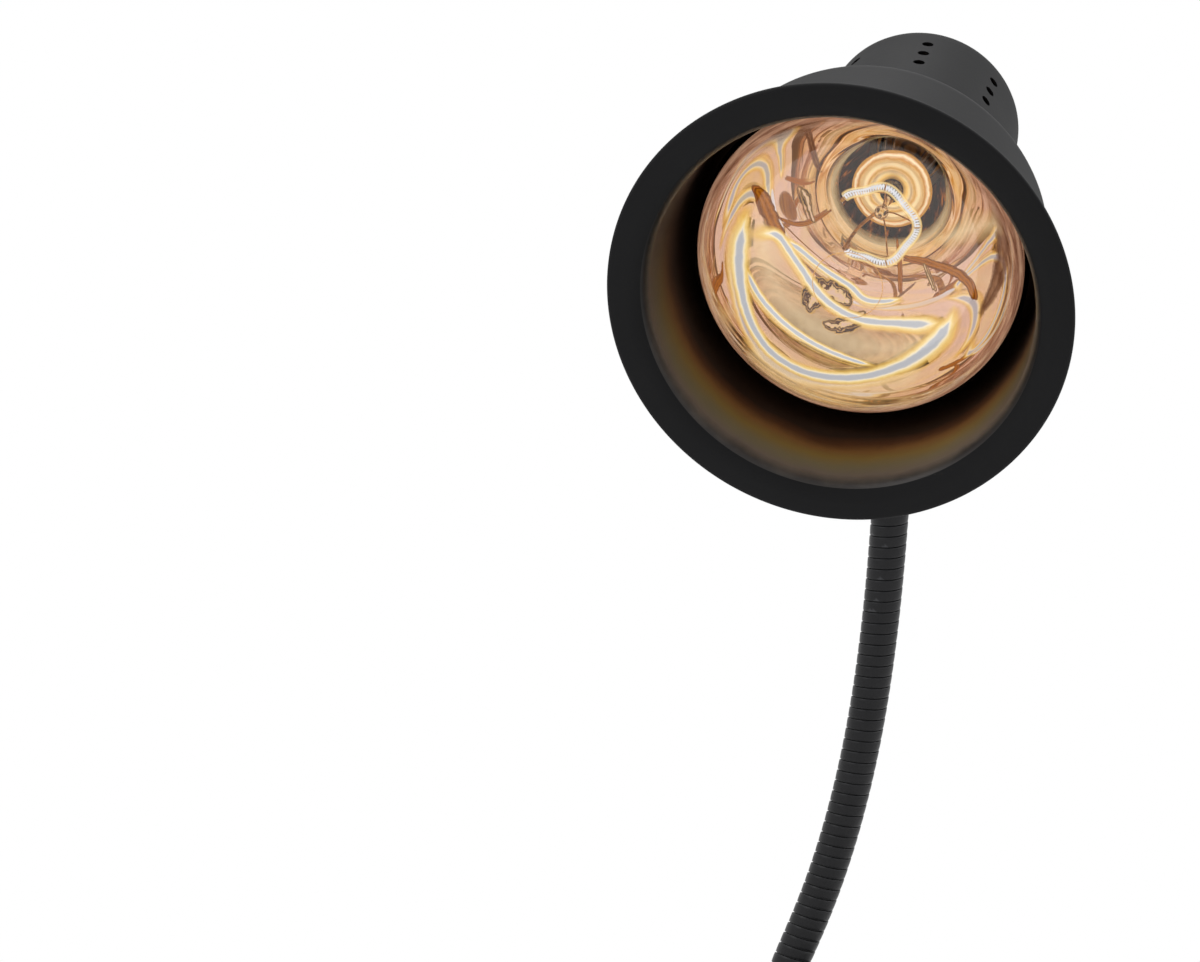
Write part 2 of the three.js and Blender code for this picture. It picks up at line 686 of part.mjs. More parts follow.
// The head stands on the end of the neck: Z runs back along its axis from the mouth's plane
const collarSeat = shadeDepth + seatGap;
const neckEndDepth = collarSeat + collarFloor + seatGap;
const head = new THREE.Group();
head.rotation.set(-(90 - headRise) * degrees, 0, -headTurn * degrees, 'ZXY');
head.position.copy(neckEnd).addScaledVector(headAxis, -neckEndDepth);
lamp.add(head);

// Depths behind the rim of what the cap holds: the strap, the lampholder and the bulb
const strapTop = shadeDepth - shadeWall - seatGap;
const strapBottom = strapTop - strapThickness;
const holderTop = strapBottom - seatGap;
const pocketFloor = holderTop - holderNutPocketDepth;
const cavityTop = pocketFloor - holderPartition;
const bulbEnd = cavityTop - holderContactHeight;
const bulbFront = bulbEnd - bulbLength;

// The skirt goes by the bulb
const mouthRadius = bulbRadius + mouthClearance;
const lipRadius = mouthRadius + lipWidth;
const shoulderRadius = bulbRadius + skirtClearance;
const shoulderDepth = bulbFront + bulbWidestDepth + shoulderBehindBulb;

// Shade: one spun shell, from the rolled edge of the lip to the hole in the cap's end
function shadeProfile(inset) {
  const slope = shoulderSlope * degrees;
  const shoulderTurn = 90 - shoulderSlope;
  const round = shoulderRound - inset;
  const shoulderCentre = shoulderRadius - shoulderRound;
  const foot = capFootRound + inset;
  const footCentre = capRadius + capFootRound;
  const slopeStart = [shoulderCentre + round * sin(slope), shoulderDepth + round * cos(slope)];
  const footHeightAbove = (slopeStart[0] - footCentre + foot * sin(slope)) * tan(slope);
  const capFoot = slopeStart[1] + footHeightAbove + foot * cos(slope);
  const endRound = capEndRound - inset;
  return [
    ...arc(shoulderCentre, shoulderDepth, round, 0, shoulderTurn, 4),
    ...arc(footCentre, capFoot, foot, 270 - shoulderSlope, 180, 2),
    ...arc(capRadius - capEndRound, shadeDepth - capEndRound, endRound, 0, 90, 3),
  ];
}

const lipCentre = mouthRadius + lipRoundRadius;
const lipOuterRound = lipRoundRadius - shadeWall;
const shadeOutside = [
  ...arc(lipCentre, lipRoundRadius, lipOuterRound, 270, 180, 2),
  ...shadeProfile(0),
  [tubeHoleRadius, shadeDepth],
];
const shadeInside = [
  ...arc(lipCentre, lipRoundRadius, lipRoundRadius, 270, 180, 3),
  ...shadeProfile(shadeWall),
  [tubeHoleRadius, shadeDepth - shadeWall],
];
const lipEdge = arc(lipRadius - lipEdgeRadius, lipEdgeRadius, lipEdgeRadius, -90, 90, 3);
const shadeShell = turned([...lipEdge, ...shadeOutside, ...shadeInside.reverse()], shadeSides);
const firstVent = shadeDepth - firstVentInset;
const vents = [];
for (let row = 0; row < ventRowCount; row++) {
  const angle = ventRowTurn * degrees + row * 2 * PI / ventRowCount;
  for (let i = 0; i < ventsPerRow; i++) {
    vents.push(drum(ventRadius, capRadius - 3 * shadeWall, capRadius + 2 * shadeWall, holeSides)
      .rotateY(PI / 2).rotateZ(angle).translate(0, 0, firstVent + i * ventPitch));
  }
}
add(head, 'shade', cut(shadeShell, ...vents), blackCoat);

// Neck end: collar on the cap, threaded tube through cap and strap, nut inside
add(head, 'head_collar', collar(headCollarFlangeRadius), blackCoat).position.z = collarSeat;
const headNutTop = strapBottom - seatGap;
const headNutBottom = headNutTop - nutThickness;
add(head, 'head_nut', nut(nutAcrossFlats, tubeRadius + seatGap, headNutBottom, headNutTop),
  zincSteel);
add(head, 'head_threaded_tube', ring(tubeRadius, tubeBoreRadius, headNutBottom - tubeBeyondNut / 2,
  neckEndDepth + tubeGripInNeck, smallSides), zincSteel);

// Lampholder: strap across the cap's end, ceramic body screwed to it, shell and contact
const holderBottom = holderTop - holderLength;
const shellOuter = bulbCapRadius + runningGap + shellWall;
const shellTop = cavityTop - seatGap;
const screwPlaces = [-holderScrewCircle, holderScrewCircle];
const strapHoles = screwPlaces.map((x) => roundHole(x, 0, holderScrewRadius + screwHoleGap));
add(head, 'holder_strap', plate(roundedRectangle(strapLength, strapWidth, strapCorner),
  [roundHole(0, 0, tubeHoleRadius), ...strapHoles], strapBottom, strapTop), zincSteel);

const holderStep = holderTop - holderShoulder;
const holderShell = turned([
  [shellOuter + seatGap, holderBottom], [holderFrontRadius - holderCorner, holderBottom],
  [holderFrontRadius, holderBottom + holderCorner],
  [holderFrontRadius, holderStep - holderTaper], [holderRadius, holderStep],
  [holderRadius, holderTop - holderCorner], [holderRadius - holderCorner, holderTop],
  [holderNutPocketRadius, holderTop], [holderNutPocketRadius, pocketFloor],
  [contactPinRadius + seatGap, pocketFloor], [contactPinRadius + seatGap, cavityTop],
  [shellOuter + seatGap, cavityTop],
], turnedSides);
const screwBearing = holderStep + holderScrewSeat;
const screwBores = screwPlaces.flatMap((x) => [
  drum(holderScrewRadius + screwHoleGap, holderBottom, holderTop + cutPast, holeSides)
    .translate(x, 0, 0),
  drum(holderScrewHeadRadius + screwHoleGap, holderBottom - cutPast, screwBearing, boreSides)
    .translate(x, 0, 0),
]);
add(head, 'holder_body', cut(holderShell, ...screwBores), ceramic);
screwPlaces.forEach((x, i) => add(head, `holder_screw_${i + 1}`,
  screw(holderScrewRadius, holderScrewHeadRadius, holderScrewHeadHeight,
    screwBearing - seatGap, strapTop - seatGap), zincSteel).position.set(x, 0, 0));
add(head, 'screw_shell', ring(shellOuter, bulbCapRadius + runningGap, shellTop - shellLength,
  shellTop, 24), brass);

// The bulb's contact bears on the lampholder's
const contactFace = bulbEnd + seatGap;
const contactRadius = bulbContactRadius - holderContactInset;
add(head, 'holder_contact', turned([
  [0, contactFace], [contactRadius, contactFace],
  [contactRadius, contactFace + holderContactHead],
  [contactPinRadius, contactFace + holderContactHead],
  [contactPinRadius, pocketFloor - contactPinInset], [0, pocketFloor - contactPinInset],
], smallSides), brass);

const bulb = new THREE.Group();
bulb.position.z = bulbFront;
head.add(bulb);

// Glass: domed clear face, rounded edge, reflector bowl and throat, open where the stem
// goes in
const bulbCapTop = bulbLength - bulbEndLength;
const bulbCapBottom = bulbCapTop - bulbCapLength;
const glassEnd = bulbCapBottom + glassInCap;
const bulbThroatDepth = bulbLength - bulbThroatBeforeEnd;
const bulbNeckDepth = bulbLength - bulbNeckBeforeEnd;
const bowlTurnDepth = bulbThroatDepth - bulbBowlTurn.beforeThroat;
const glassEndRadius = bulbCapRadius - bulbCapWall - seatGap;

function bulbProfile(inset) {
  const faceRadius = (bulbFaceRadius ** 2 + bulbFaceSag ** 2) / (2 * bulbFaceSag);
  const faceTurn = Math.asin(bulbFaceRadius / faceRadius) / degrees;
  const face = arc(0, faceRadius, faceRadius - inset, 270, 270 + faceTurn, 3);
  const edge = new THREE.CubicBezierCurve(
    new THREE.Vector2(...face[face.length - 1]),
    new THREE.Vector2(bulbFaceRadius + bulbEdgeReach.out,
      bulbFaceSag + bulbEdgeReach.back + inset),
    new THREE.Vector2(bulbRadius - inset, bulbWidestDepth - bulbEdgeReach.forward),
    new THREE.Vector2(bulbRadius - inset, bulbWidestDepth));
  const bowl = new THREE.CubicBezierCurve(
    new THREE.Vector2(bulbRadius - inset, bulbWidestDepth),
    new THREE.Vector2(bulbRadius - inset, bulbWidestDepth + bulbBowlReach),
    new THREE.Vector2(bulbBowlTurn.radius - inset, bowlTurnDepth),
    new THREE.Vector2(bulbThroatRadius - inset, bulbThroatDepth));
  return [...face, ...edge.getPoints(4).slice(1).map((p) => [p.x, p.y]),
    ...bowl.getPoints(6).slice(1).map((p) => [p.x, p.y]),
    [bulbNeckRadius - inset, bulbNeckDepth],
    [glassEndRadius - inset, bulbCapBottom - seatGap], [glassEndRadius - inset, glassEnd]];
}

const glassOutside = bulbProfile(0);
const glassInside = bulbProfile(bulbWall).reverse();
add(bulb, 'bulb_glass', turned([...glassOutside, ...glassInside], bulbSides), clearGlass);

// Screw cap, black glass insulator and contact behind the bulb
add(bulb, 'bulb_cap', turned([
  [bulbCapRadius - bulbCapWall, bulbCapBottom], [bulbCapRadius, bulbCapBottom],
  [bulbCapRadius, bulbCapTop - bulbCapCorner], [bulbCapRadius - bulbCapCorner, bulbCapTop],
  [bulbCapRadius - bulbCapLip, bulbCapTop],
  [bulbCapRadius - bulbCapLip, bulbCapTop - bulbCapWall],
  [bulbCapRadius - bulbCapWall, bulbCapTop - bulbCapCorner - bulbCapWall],
], 24), brass);
const insulatorBottom = bulbCapTop + seatGap;
const insulatorTop = bulbLength - bulbContactHeight - seatGap;
add(bulb, 'bulb_insulator', turned([
  [insulatorBore, insulatorBottom], [bulbCapRadius - insulatorInset, insulatorBottom],
  [bulbContactRadius, insulatorTop], [insulatorBore, insulatorTop],
], smallSides), blackPlastic);
add(bulb, 'bulb_contact', drum(bulbContactRadius, bulbLength - bulbContactHeight, bulbLength,
  smallSides), brass);

// Stem: a glass tube flared to the glass's end, pressed at its tip round the two leads, with a
// glass rod in front whose button holds the filament's supports
const stemBack = glassEnd - stemInset;
const stemFront = stemBack - stemLength;
const flareOuter = Math.min(stemFlareRadius, glassEndRadius - bulbWall - seatGap);
const buttonDepth = stemFront - buttonAhead;
const buttonFront = buttonDepth - buttonRadius;
const stemTube = turned([
  [0, buttonFront], [buttonRadius * buttonFlat, buttonFront], [buttonRadius, buttonDepth],
  [arborRadius, buttonDepth + buttonRadius], [arborRadius, stemFront],
  [stemTubeRadius - stemTipRound.in, stemFront],
  [stemTubeRadius, stemFront + stemTipRound.back],
  [stemTubeRadius, stemBack - stemFlareLength], [flareOuter, stemBack],
  [flareOuter - stemWall, stemBack], [stemTubeRadius - stemWall, stemBack - stemFlareLength],
  [stemTubeRadius - stemWall, stemFront + stemPressLength], [0, stemFront + stemPressLength],
], smallSides);
const leadSides = [-1, 1];
const leadRoot = stemFront + leadPress;
const leadSockets = leadSides.map((side) =>
  drum(leadRadius + seatGap, stemFront - cutPast, leadRoot + seatGap, holeSides)
    .translate(0, side * leadSpacing / 2, 0));
const supportSockets = supportTurns.map((turn) =>
  drum(supportRadius + seatGap, buttonRadius / 2 - seatGap, 2 * buttonRadius, 6)
    .rotateY(PI / 2).rotateZ(turn * degrees).translate(0, 0, buttonDepth));
add(bulb, 'bulb_stem', cut(stemTube, ...leadSockets, ...supportSockets), stemGlass);

const filamentDepth = stemFront - filamentAhead;

function onFilamentRing(turn, radius, depth) {
  return new THREE.Vector3(radius * cos(turn * degrees), radius * sin(turn * degrees), depth);
}

function rod(line, radius, sides, steps) {
  const section = new THREE.Shape(circlePoints(0, 0, radius, sides));
  return new THREE.ExtrudeGeometry(section, { steps, extrudePath: line, bevelEnabled: false });
}

// Leads: each leaves the stem's tip, spreads to its side and runs forward to a filament end
leadSides.forEach((side, i) => {
  const end = filamentEnds[i];
  const line = new THREE.CatmullRomCurve3([
    new THREE.Vector3(0, side * leadSpacing / 2, leadRoot),
    new THREE.Vector3(0, side * leadSpacing / 2, stemFront),
    new THREE.Vector3(0, side * leadSpacing / 2, stemFront - leadPress),
    onFilamentRing(end, filamentRingRadius * leadSpread, (stemFront + filamentDepth) / 2),
    onFilamentRing(end, filamentRingRadius, filamentDepth - filamentRadius),
  ]);
  add(bulb, `bulb_lead_${i + 1}`, rod(line, leadRadius, 5, 12), zincSteel);
});

// Filament: a coiled wire bent into an open ring between the leads
const filamentGap = (leadRadius + filamentRadius + seatGap) / filamentRingRadius / degrees;
const filamentFrom = filamentEnds[0] + filamentGap;
const filamentTo = filamentEnds[1] - filamentGap;
const filamentLine = new THREE.CatmullRomCurve3(Array.from({ length: 9 }, (_, i) =>
  onFilamentRing(filamentFrom + (filamentTo - filamentFrom) * i / 8, filamentRingRadius,
    filamentDepth)));
add(bulb, 'bulb_filament', rod(filamentLine, filamentRadius, 5, 26), tungsten);

// Supports: wires from the button out to the back of the filament
supportTurns.forEach((turn, i) => {
  const line = new THREE.CatmullRomCurve3([
    onFilamentRing(turn, buttonRadius / 2, buttonDepth),
    onFilamentRing(turn, supportBend.radius, buttonDepth - supportBend.forward),
    onFilamentRing(turn, filamentRingRadius, filamentDepth + filamentRadius + seatGap),
  ]);
  add(bulb, `bulb_support_${i + 1}`, rod(line, supportRadius, 5, 6), zincSteel);
});

// Heat disc: keeps the filament's heat out of the bulb's neck
const heatDiscDepth = stemFront + heatDiscBehind;
add(bulb, 'bulb_heat_disc', ring(heatDiscRadius, stemTubeRadius + seatGap, heatDiscDepth,
  heatDiscDepth + heatDiscThickness, 28), zincSteel);

// The part in its frame
const part = new THREE.Group();
lamp.position.y = neckFootBehind;
part.add(lamp);

export default part;
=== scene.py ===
"""Looks of a food-warming heat lamp: a vented spun shade with a reflector bulb, on a strip-wound
flexible neck from a round weighted base. Sizes are millimetres, and meshes are in metres."""

import bmesh
import bpy
import numpy as np
from mathutils import Euler, Matrix, Vector


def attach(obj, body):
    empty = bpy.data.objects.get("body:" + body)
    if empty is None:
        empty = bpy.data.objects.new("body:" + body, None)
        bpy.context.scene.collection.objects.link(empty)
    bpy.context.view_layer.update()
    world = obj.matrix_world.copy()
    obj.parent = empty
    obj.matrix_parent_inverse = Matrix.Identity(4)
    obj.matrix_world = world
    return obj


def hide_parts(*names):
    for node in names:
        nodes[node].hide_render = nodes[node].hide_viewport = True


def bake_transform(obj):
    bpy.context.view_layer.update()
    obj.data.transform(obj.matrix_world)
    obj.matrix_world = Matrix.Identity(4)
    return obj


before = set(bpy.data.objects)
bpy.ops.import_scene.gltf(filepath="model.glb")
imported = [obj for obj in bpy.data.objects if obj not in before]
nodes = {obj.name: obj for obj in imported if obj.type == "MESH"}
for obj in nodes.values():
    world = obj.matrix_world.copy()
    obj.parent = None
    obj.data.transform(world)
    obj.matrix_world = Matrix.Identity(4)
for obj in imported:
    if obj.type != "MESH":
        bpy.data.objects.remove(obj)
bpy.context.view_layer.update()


# Rubber feet and their screws.
# Four moulded black rubber feet under the plate, each with a screw in its recess. The rubber is
# matt and slightly grainy, with a paler bloom of dust; the screws are bright zinc-plated steel.

def linear(code, alpha=1):
    """An sRGB hex colour as linear RGBA: c / 12.92 when dark, else ((c + 0.055) / 1.055) ** 2.4."""
    c = np.array([int(code[i:i + 2], 16) for i in (0, 2, 4)]) / 255
    return (*np.where(c <= 0.04045, c / 12.92, ((c + 0.055) / 1.055) ** 2.4).tolist(), alpha)


def add(tree, kind, inputs=None, stops=None, **settings):
    """One shader node. inputs sets or links its sockets, stops are a colour ramp's (place, colour)
    pairs, and settings are its own properties."""
    new = tree.nodes.new("ShaderNode" + kind)
    for name, value in settings.items():
        setattr(new, name, value)
    for name, value in (inputs or {}).items():
        socket = new.inputs[name]
        if isinstance(value, bpy.types.NodeSocket):
            tree.links.new(value, socket)
        else:
            socket.default_value = value
    if stops:
        ramp = new.color_ramp
        while len(ramp.elements) < len(stops):
            ramp.elements.new(1)
        for element, (place, colour) in zip(ramp.elements, stops):
            element.position = place
            element.color = colour
    return new


def material(name):
    """An empty node material and its tree."""
    made = bpy.data.materials.new(name)
    made.use_nodes = True
    made.node_tree.nodes.clear()
    return made, made.node_tree


def give(piece, *finishes):
    """The finishes take the place of the piece's material slots."""
    piece.data.materials.clear()
    for finish in finishes:
        piece.data.materials.append(finish)


def surface(name, grid, closed_rows=True, closed_columns=True, capped=False, sharp=38):
    """A grid of points (rows, columns, 3) in millimetres as a mesh of quads, with its faces turned
    outwards by the sign of the volume they enclose. UV is the length along the first column and
    the first row, in metres. Points that fall together at a pole are merged."""
    rows, columns = grid.shape[:2]
    index = np.arange(rows * columns).reshape(rows, columns)
    steps_down = np.linalg.norm(np.diff(grid, axis=0, append=grid[:1]), axis=2).mean(1)
    steps_across = np.linalg.norm(np.diff(grid, axis=1, append=grid[:, :1]), axis=2).max(0)
    down = np.concatenate([[0], np.cumsum(steps_down)]) / 1000
    across = np.concatenate([[0], np.cumsum(steps_across)]) / 1000
    if closed_rows:
        index = np.vstack([index, index[:1]])
    if closed_columns:
        index = np.hstack([index, index[:, :1]])
    v, u = np.meshgrid(down[:index.shape[0]], across[:index.shape[1]], indexing="ij")
    corners = lambda a: np.stack([a[:-1, :-1], a[:-1, 1:], a[1:, 1:], a[1:, :-1]], -1).reshape(-1, 4)
    quads, uv = corners(index), np.stack([corners(u), corners(v)], -1)
    points = grid.reshape(-1, 3) / 1000
    a, b, c, d = (points[quads[:, i]] - points.mean(0) for i in range(4))
    volume = (np.einsum("ij,ij->i", a, np.cross(b, c)) + np.einsum("ij,ij->i", a, np.cross(c, d))).sum()
    if volume < 0:
        quads, uv = quads[:, ::-1], uv[:, ::-1]
    faces, flat_uv = quads.tolist(), uv.reshape(-1, 2)
    if capped:
        first, last = index[0, :columns], index[-1, :columns]
        ends = [first[::-1], last] if volume >= 0 else [first, last[::-1]]
        faces += [end.tolist() for end in ends]
        flat_uv = np.vstack([flat_uv, np.zeros((2 * columns, 2))])
    mesh = bpy.data.meshes.new(name)
    mesh.from_pydata(points.tolist(), [], faces)
    mesh.uv_layers.new(name="UVMap").data.foreach_set("uv", flat_uv.astype(np.float32).ravel())
    work = bmesh.new()
    work.from_mesh(mesh)
    bmesh.ops.remove_doubles(work, verts=work.verts, dist=1e-7)
    if capped:
        bmesh.ops.recalc_face_normals(work, faces=work.faces)
    work.to_mesh(mesh)
    work.free()
    mesh.polygons.foreach_set("use_smooth", np.ones(len(mesh.polygons), bool))
    mesh.set_sharp_from_angle(angle=np.radians(sharp))
    piece = bpy.data.objects.new(name, mesh)
    bpy.context.scene.collection.objects.link(piece)
    return piece


def arc(radius, height, bend, start, end, steps):
    """Points on a circle of radius bend about (radius, height), from start to end in degrees."""
    angle = np.radians(np.linspace(start, end, steps + 1))
    return np.stack([radius + bend * np.cos(angle), height + bend * np.sin(angle)], -1)


def revolve(profile, sides):
    """Grid of a profile of (radius, height) turned about Z: (r cos a, r sin a, h)."""
    profile = np.vstack([np.atleast_2d(part) for part in profile])
    angle = np.linspace(0, 2 * np.pi, sides, endpoint=False)[:, None]
    return np.stack([profile[:, 0] * np.cos(angle), profile[:, 0] * np.sin(angle),
                     np.broadcast_to(profile[:, 1], (sides, len(profile)))], -1)


NECK_FOOT = np.array([0, 163.5, 0])
FOOT_CIRCLE = 100
FOOT_TURNS = (45, 135, 225, 315)

# Moulded rubber: matt, near black, with a fine grain of about 0.4 mm
rubber, tree = material("moulded_rubber")
where = add(tree, "TexCoord").outputs["Object"]
grain = add(tree, "TexNoise", {"Vector": where, "Scale": 2500.0, "Detail": 2.0})
bloom = add(tree, "TexNoise", {"Vector": where, "Scale": 90.0, "Detail": 4.0})
tone = add(tree, "ValToRGB", {"Fac": bloom.outputs["Fac"]},
           stops=[(0.35, linear("141414")), (0.75, linear("262524"))])
relief = add(tree, "Bump", {"Height": grain.outputs["Fac"], "Strength": 0.25, "Distance": 0.0002})
shader = add(tree, "BsdfPrincipled", {"Base Color": tone.outputs["Color"], "Roughness": 0.82,
                                      "Normal": relief.outputs["Normal"]})
add(tree, "OutputMaterial", {"Surface": shader.outputs["BSDF"]})

# Zinc-plated steel: bluish silver, mid gloss, with faint passivation clouds of some 6 mm
zinc_steel, tree = material("zinc_plated_steel")
where = add(tree, "TexCoord").outputs["Object"]
clouds = add(tree, "TexNoise", {"Vector": where, "Scale": 160.0, "Detail": 3.0})
tone = add(tree, "ValToRGB", {"Fac": clouds.outputs["Fac"]},
           stops=[(0.3, linear("a9adb0")), (0.7, linear("c6c6be"))])
rough = add(tree, "MapRange", {"Value": clouds.outputs["Fac"], "To Min": 0.24, "To Max": 0.42})
scratch = add(tree, "TexNoise", {"Vector": where, "Scale": 2200.0, "Detail": 2.0})
relief = add(tree, "Bump", {"Height": scratch.outputs["Fac"], "Strength": 0.08, "Distance": 0.0002})
shader = add(tree, "BsdfPrincipled", {"Base Color": tone.outputs["Color"], "Metallic": 1.0,
                                      "Roughness": rough.outputs["Result"],
                                      "Normal": relief.outputs["Normal"]})
add(tree, "OutputMaterial", {"Surface": shader.outputs["BSDF"]})

for i, angle in enumerate(np.radians(FOOT_TURNS)):
    spot = NECK_FOOT + FOOT_CIRCLE * np.array([np.cos(angle), np.sin(angle), 0])
    foot = surface(f"foot_{i + 1}", spot + revolve([
        [4, 0.6], [4.5, 0], arc(8.4, 0.6, 0.6, -90, -8, 3), arc(9.6, 5.6, 0.4, 0, 90, 3),
        [2.5, 6], [2.5, 3], [4, 3]], 48))
    give(foot, rubber)
    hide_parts(f"rubber_foot_{i + 1}")
    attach(foot, "base")
    give(nodes[f"foot_screw_{i + 1}"], zinc_steel)


# Base plate, cast weight and the parts that clamp the neck.
# A disc of zinc-plated sheet closes the base from below. Above it lie the grey iron casting,
# with its as-cast skin, and a steel washer, nut and threaded tube.

PLATE_RADIUS = 122.8
PLATE_BOTTOM, PLATE_TOP = 6.3, 8.3
PLATE_EDGE = 0.4

plate = surface("plate", NECK_FOOT + revolve([
    [0, PLATE_BOTTOM],
    arc(PLATE_RADIUS - PLATE_EDGE, PLATE_BOTTOM + PLATE_EDGE, PLATE_EDGE, -90, 0, 3),
    arc(PLATE_RADIUS - PLATE_EDGE, PLATE_TOP - PLATE_EDGE, PLATE_EDGE, 0, 90, 3),
    [0, PLATE_TOP]], 160), closed_columns=False)
give(plate, zinc_steel)
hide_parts("base_plate")
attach(plate, "base")

# Grey cast iron: dark, dull metal with a sand-cast skin of about 1 mm grain
cast_iron, tree = material("grey_cast_iron")
where = add(tree, "TexCoord").outputs["Object"]
sand = add(tree, "TexNoise", {"Vector": where, "Scale": 900.0, "Detail": 5.0})
tone = add(tree, "ValToRGB", {"Fac": sand.outputs["Fac"]},
           stops=[(0.3, linear("38342f")), (0.7, linear("55504b"))])
relief = add(tree, "Bump", {"Height": sand.outputs["Fac"], "Strength": 0.6, "Distance": 0.0005})
shader = add(tree, "BsdfPrincipled", {"Base Color": tone.outputs["Color"], "Metallic": 0.6,
                                      "Roughness": 0.7, "Normal": relief.outputs["Normal"]})
add(tree, "OutputMaterial", {"Surface": shader.outputs["BSDF"]})
give(nodes["base_weight"], cast_iron)
for name in ("base_washer", "base_nut", "base_threaded_tube"):
    give(nodes[name], zinc_steel)


# Housing: the black shell of the base.
# Spun from one steel disc, with a rounded edge and a soft dome to its top, and baked with a
# satin black coat. Holes for the switch and the gland are punched before it is coated.

BASE_RADIUS = 125
BASE_TOP = 46
BASE_WALL = 1.5
EDGE_BEND = 8
SKIRT_FOOT = 5
TUBE_HOLE = 5.25
GLAND_HOLE = 6.4
SWITCH_HOLE = np.array([7.3, 10.55, 5])
SWITCH_SPOT = NECK_FOOT + np.array([0, -80, 0])
GLAND_SPOT = NECK_FOOT + np.array([0, 125.3, 29])


def punched(piece, *cutters):
    """The piece with the cutters' solids taken out, and the cutters deleted."""
    for cutter in cutters:
        punch = piece.modifiers.new("punch", "BOOLEAN")
        punch.operation, punch.solver, punch.object = "DIFFERENCE", "EXACT", cutter
    shape = piece.evaluated_get(bpy.context.evaluated_depsgraph_get())
    mesh = bpy.data.meshes.new_from_object(shape)
    piece.modifiers.clear()
    piece.data = mesh
    for cutter in cutters:
        bpy.data.objects.remove(cutter)
    mesh.set_sharp_from_angle(angle=np.radians(38))
    return piece


def brick(low, high):
    """Grid of a box between two corners: four rows of points about its Z axis."""
    (x0, y0, z0), (x1, y1, z1) = low, high
    middle = [(x0 + x1) / 2, (y0 + y1) / 2]
    ring = np.array([[x0, y0], [x1, y0], [x1, y1], [x0, y1]])
    rows = [(np.array([middle] * 4), z0), (ring, z0), (ring, z1), (np.array([middle] * 4), z1)]
    return np.stack([np.column_stack([xy, np.full(4, z)]) for xy, z in rows])


# Satin black baked enamel: a smooth film with faint orange peel of about 1.5 mm, a little
# dust-grey in broad clouds
black_coat, tree = material("satin_black_enamel")
where = add(tree, "TexCoord").outputs["Object"]
clouds = add(tree, "TexNoise", {"Vector": where, "Scale": 22.0, "Detail": 5.0})
tone = add(tree, "ValToRGB", {"Fac": clouds.outputs["Fac"]},
           stops=[(0.3, linear("171718")), (0.75, linear("1b1b1c"))])
rough = add(tree, "MapRange", {"Value": clouds.outputs["Fac"], "To Min": 0.56, "To Max": 0.68})
peel = add(tree, "TexNoise", {"Vector": where, "Scale": 650.0, "Detail": 1.5})
relief = add(tree, "Bump", {"Height": peel.outputs["Fac"], "Strength": 0.1, "Distance": 0.0003})
shader = add(tree, "BsdfPrincipled", {"Base Color": tone.outputs["Color"],
                                      "Roughness": rough.outputs["Result"],
                                      "Specular IOR Level": 0.1,
                                      "Normal": relief.outputs["Normal"]})
add(tree, "OutputMaterial", {"Surface": shader.outputs["BSDF"]})

housing = surface("housing", NECK_FOOT + revolve([
    [BASE_RADIUS - 0.6, SKIRT_FOOT], [BASE_RADIUS, SKIRT_FOOT + 0.6],
    arc(BASE_RADIUS - EDGE_BEND, BASE_TOP - EDGE_BEND, EDGE_BEND, 0, 90, 14),
    [60, BASE_TOP], [TUBE_HOLE, BASE_TOP], [TUBE_HOLE, BASE_TOP - BASE_WALL],
    [60, BASE_TOP - BASE_WALL],
    arc(BASE_RADIUS - EDGE_BEND, BASE_TOP - EDGE_BEND, EDGE_BEND - BASE_WALL, 90, 0, 10),
    [BASE_RADIUS - BASE_WALL, SKIRT_FOOT]], 224))
drill = surface("gland_drill", GLAND_SPOT + revolve(
    [[0, -12], [GLAND_HOLE, -12], [GLAND_HOLE, 6], [0, 6]], 48)[..., [0, 2, 1]], closed_columns=False)
through = SWITCH_SPOT + [0, 0, BASE_TOP - 1]
punch = surface("switch_punch", brick(through - SWITCH_HOLE, through + SWITCH_HOLE),
                closed_rows=False)
punched(housing, drill, punch)
give(housing, black_coat)
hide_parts("base_housing")
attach(housing, "base")


# Rocker switch.
# A snap-in appliance switch: a moulded body whose bezel rests on the housing, and a rocker with
# two hollow faces on pins. Both are black nylon, the rocker glossier, and the tabs are brass.

black_plastic, tree = material("moulded_black_nylon")
where = add(tree, "TexCoord").outputs["Object"]
spark = add(tree, "TexNoise", {"Vector": where, "Scale": 3200.0, "Detail": 2.0})
clouds = add(tree, "TexNoise", {"Vector": where, "Scale": 200.0, "Detail": 2.0})
tone = add(tree, "ValToRGB", {"Fac": clouds.outputs["Fac"]},
           stops=[(0.3, linear("161617")), (0.7, linear("1e1e20"))])
relief = add(tree, "Bump", {"Height": spark.outputs["Fac"], "Strength": 0.18, "Distance": 0.0001})
shader = add(tree, "BsdfPrincipled", {"Base Color": tone.outputs["Color"], "Roughness": 0.36,
                                      "Normal": relief.outputs["Normal"]})
add(tree, "OutputMaterial", {"Surface": shader.outputs["BSDF"]})

# Pressed brass: warm yellow metal, dulled by handling in clouds of some 4 mm
brass, tree = material("pressed_brass")
where = add(tree, "TexCoord").outputs["Object"]
clouds = add(tree, "TexNoise", {"Vector": where, "Scale": 260.0, "Detail": 3.0})
tone = add(tree, "ValToRGB", {"Fac": clouds.outputs["Fac"]},
           stops=[(0.3, linear("a8803c")), (0.7, linear("d2ab5c"))])
rough = add(tree, "MapRange", {"Value": clouds.outputs["Fac"], "To Min": 0.22, "To Max": 0.4})
shader = add(tree, "BsdfPrincipled", {"Base Color": tone.outputs["Color"], "Metallic": 1.0,
                                      "Roughness": rough.outputs["Result"]})
add(tree, "OutputMaterial", {"Surface": shader.outputs["BSDF"]})

for name in ("switch_body", "switch_rocker", "cord_gland", "gland_nut", "bulb_insulator"):
    give(nodes[name], black_plastic)
for name in ("switch_tab_1", "switch_tab_2"):
    give(nodes[name], brass)

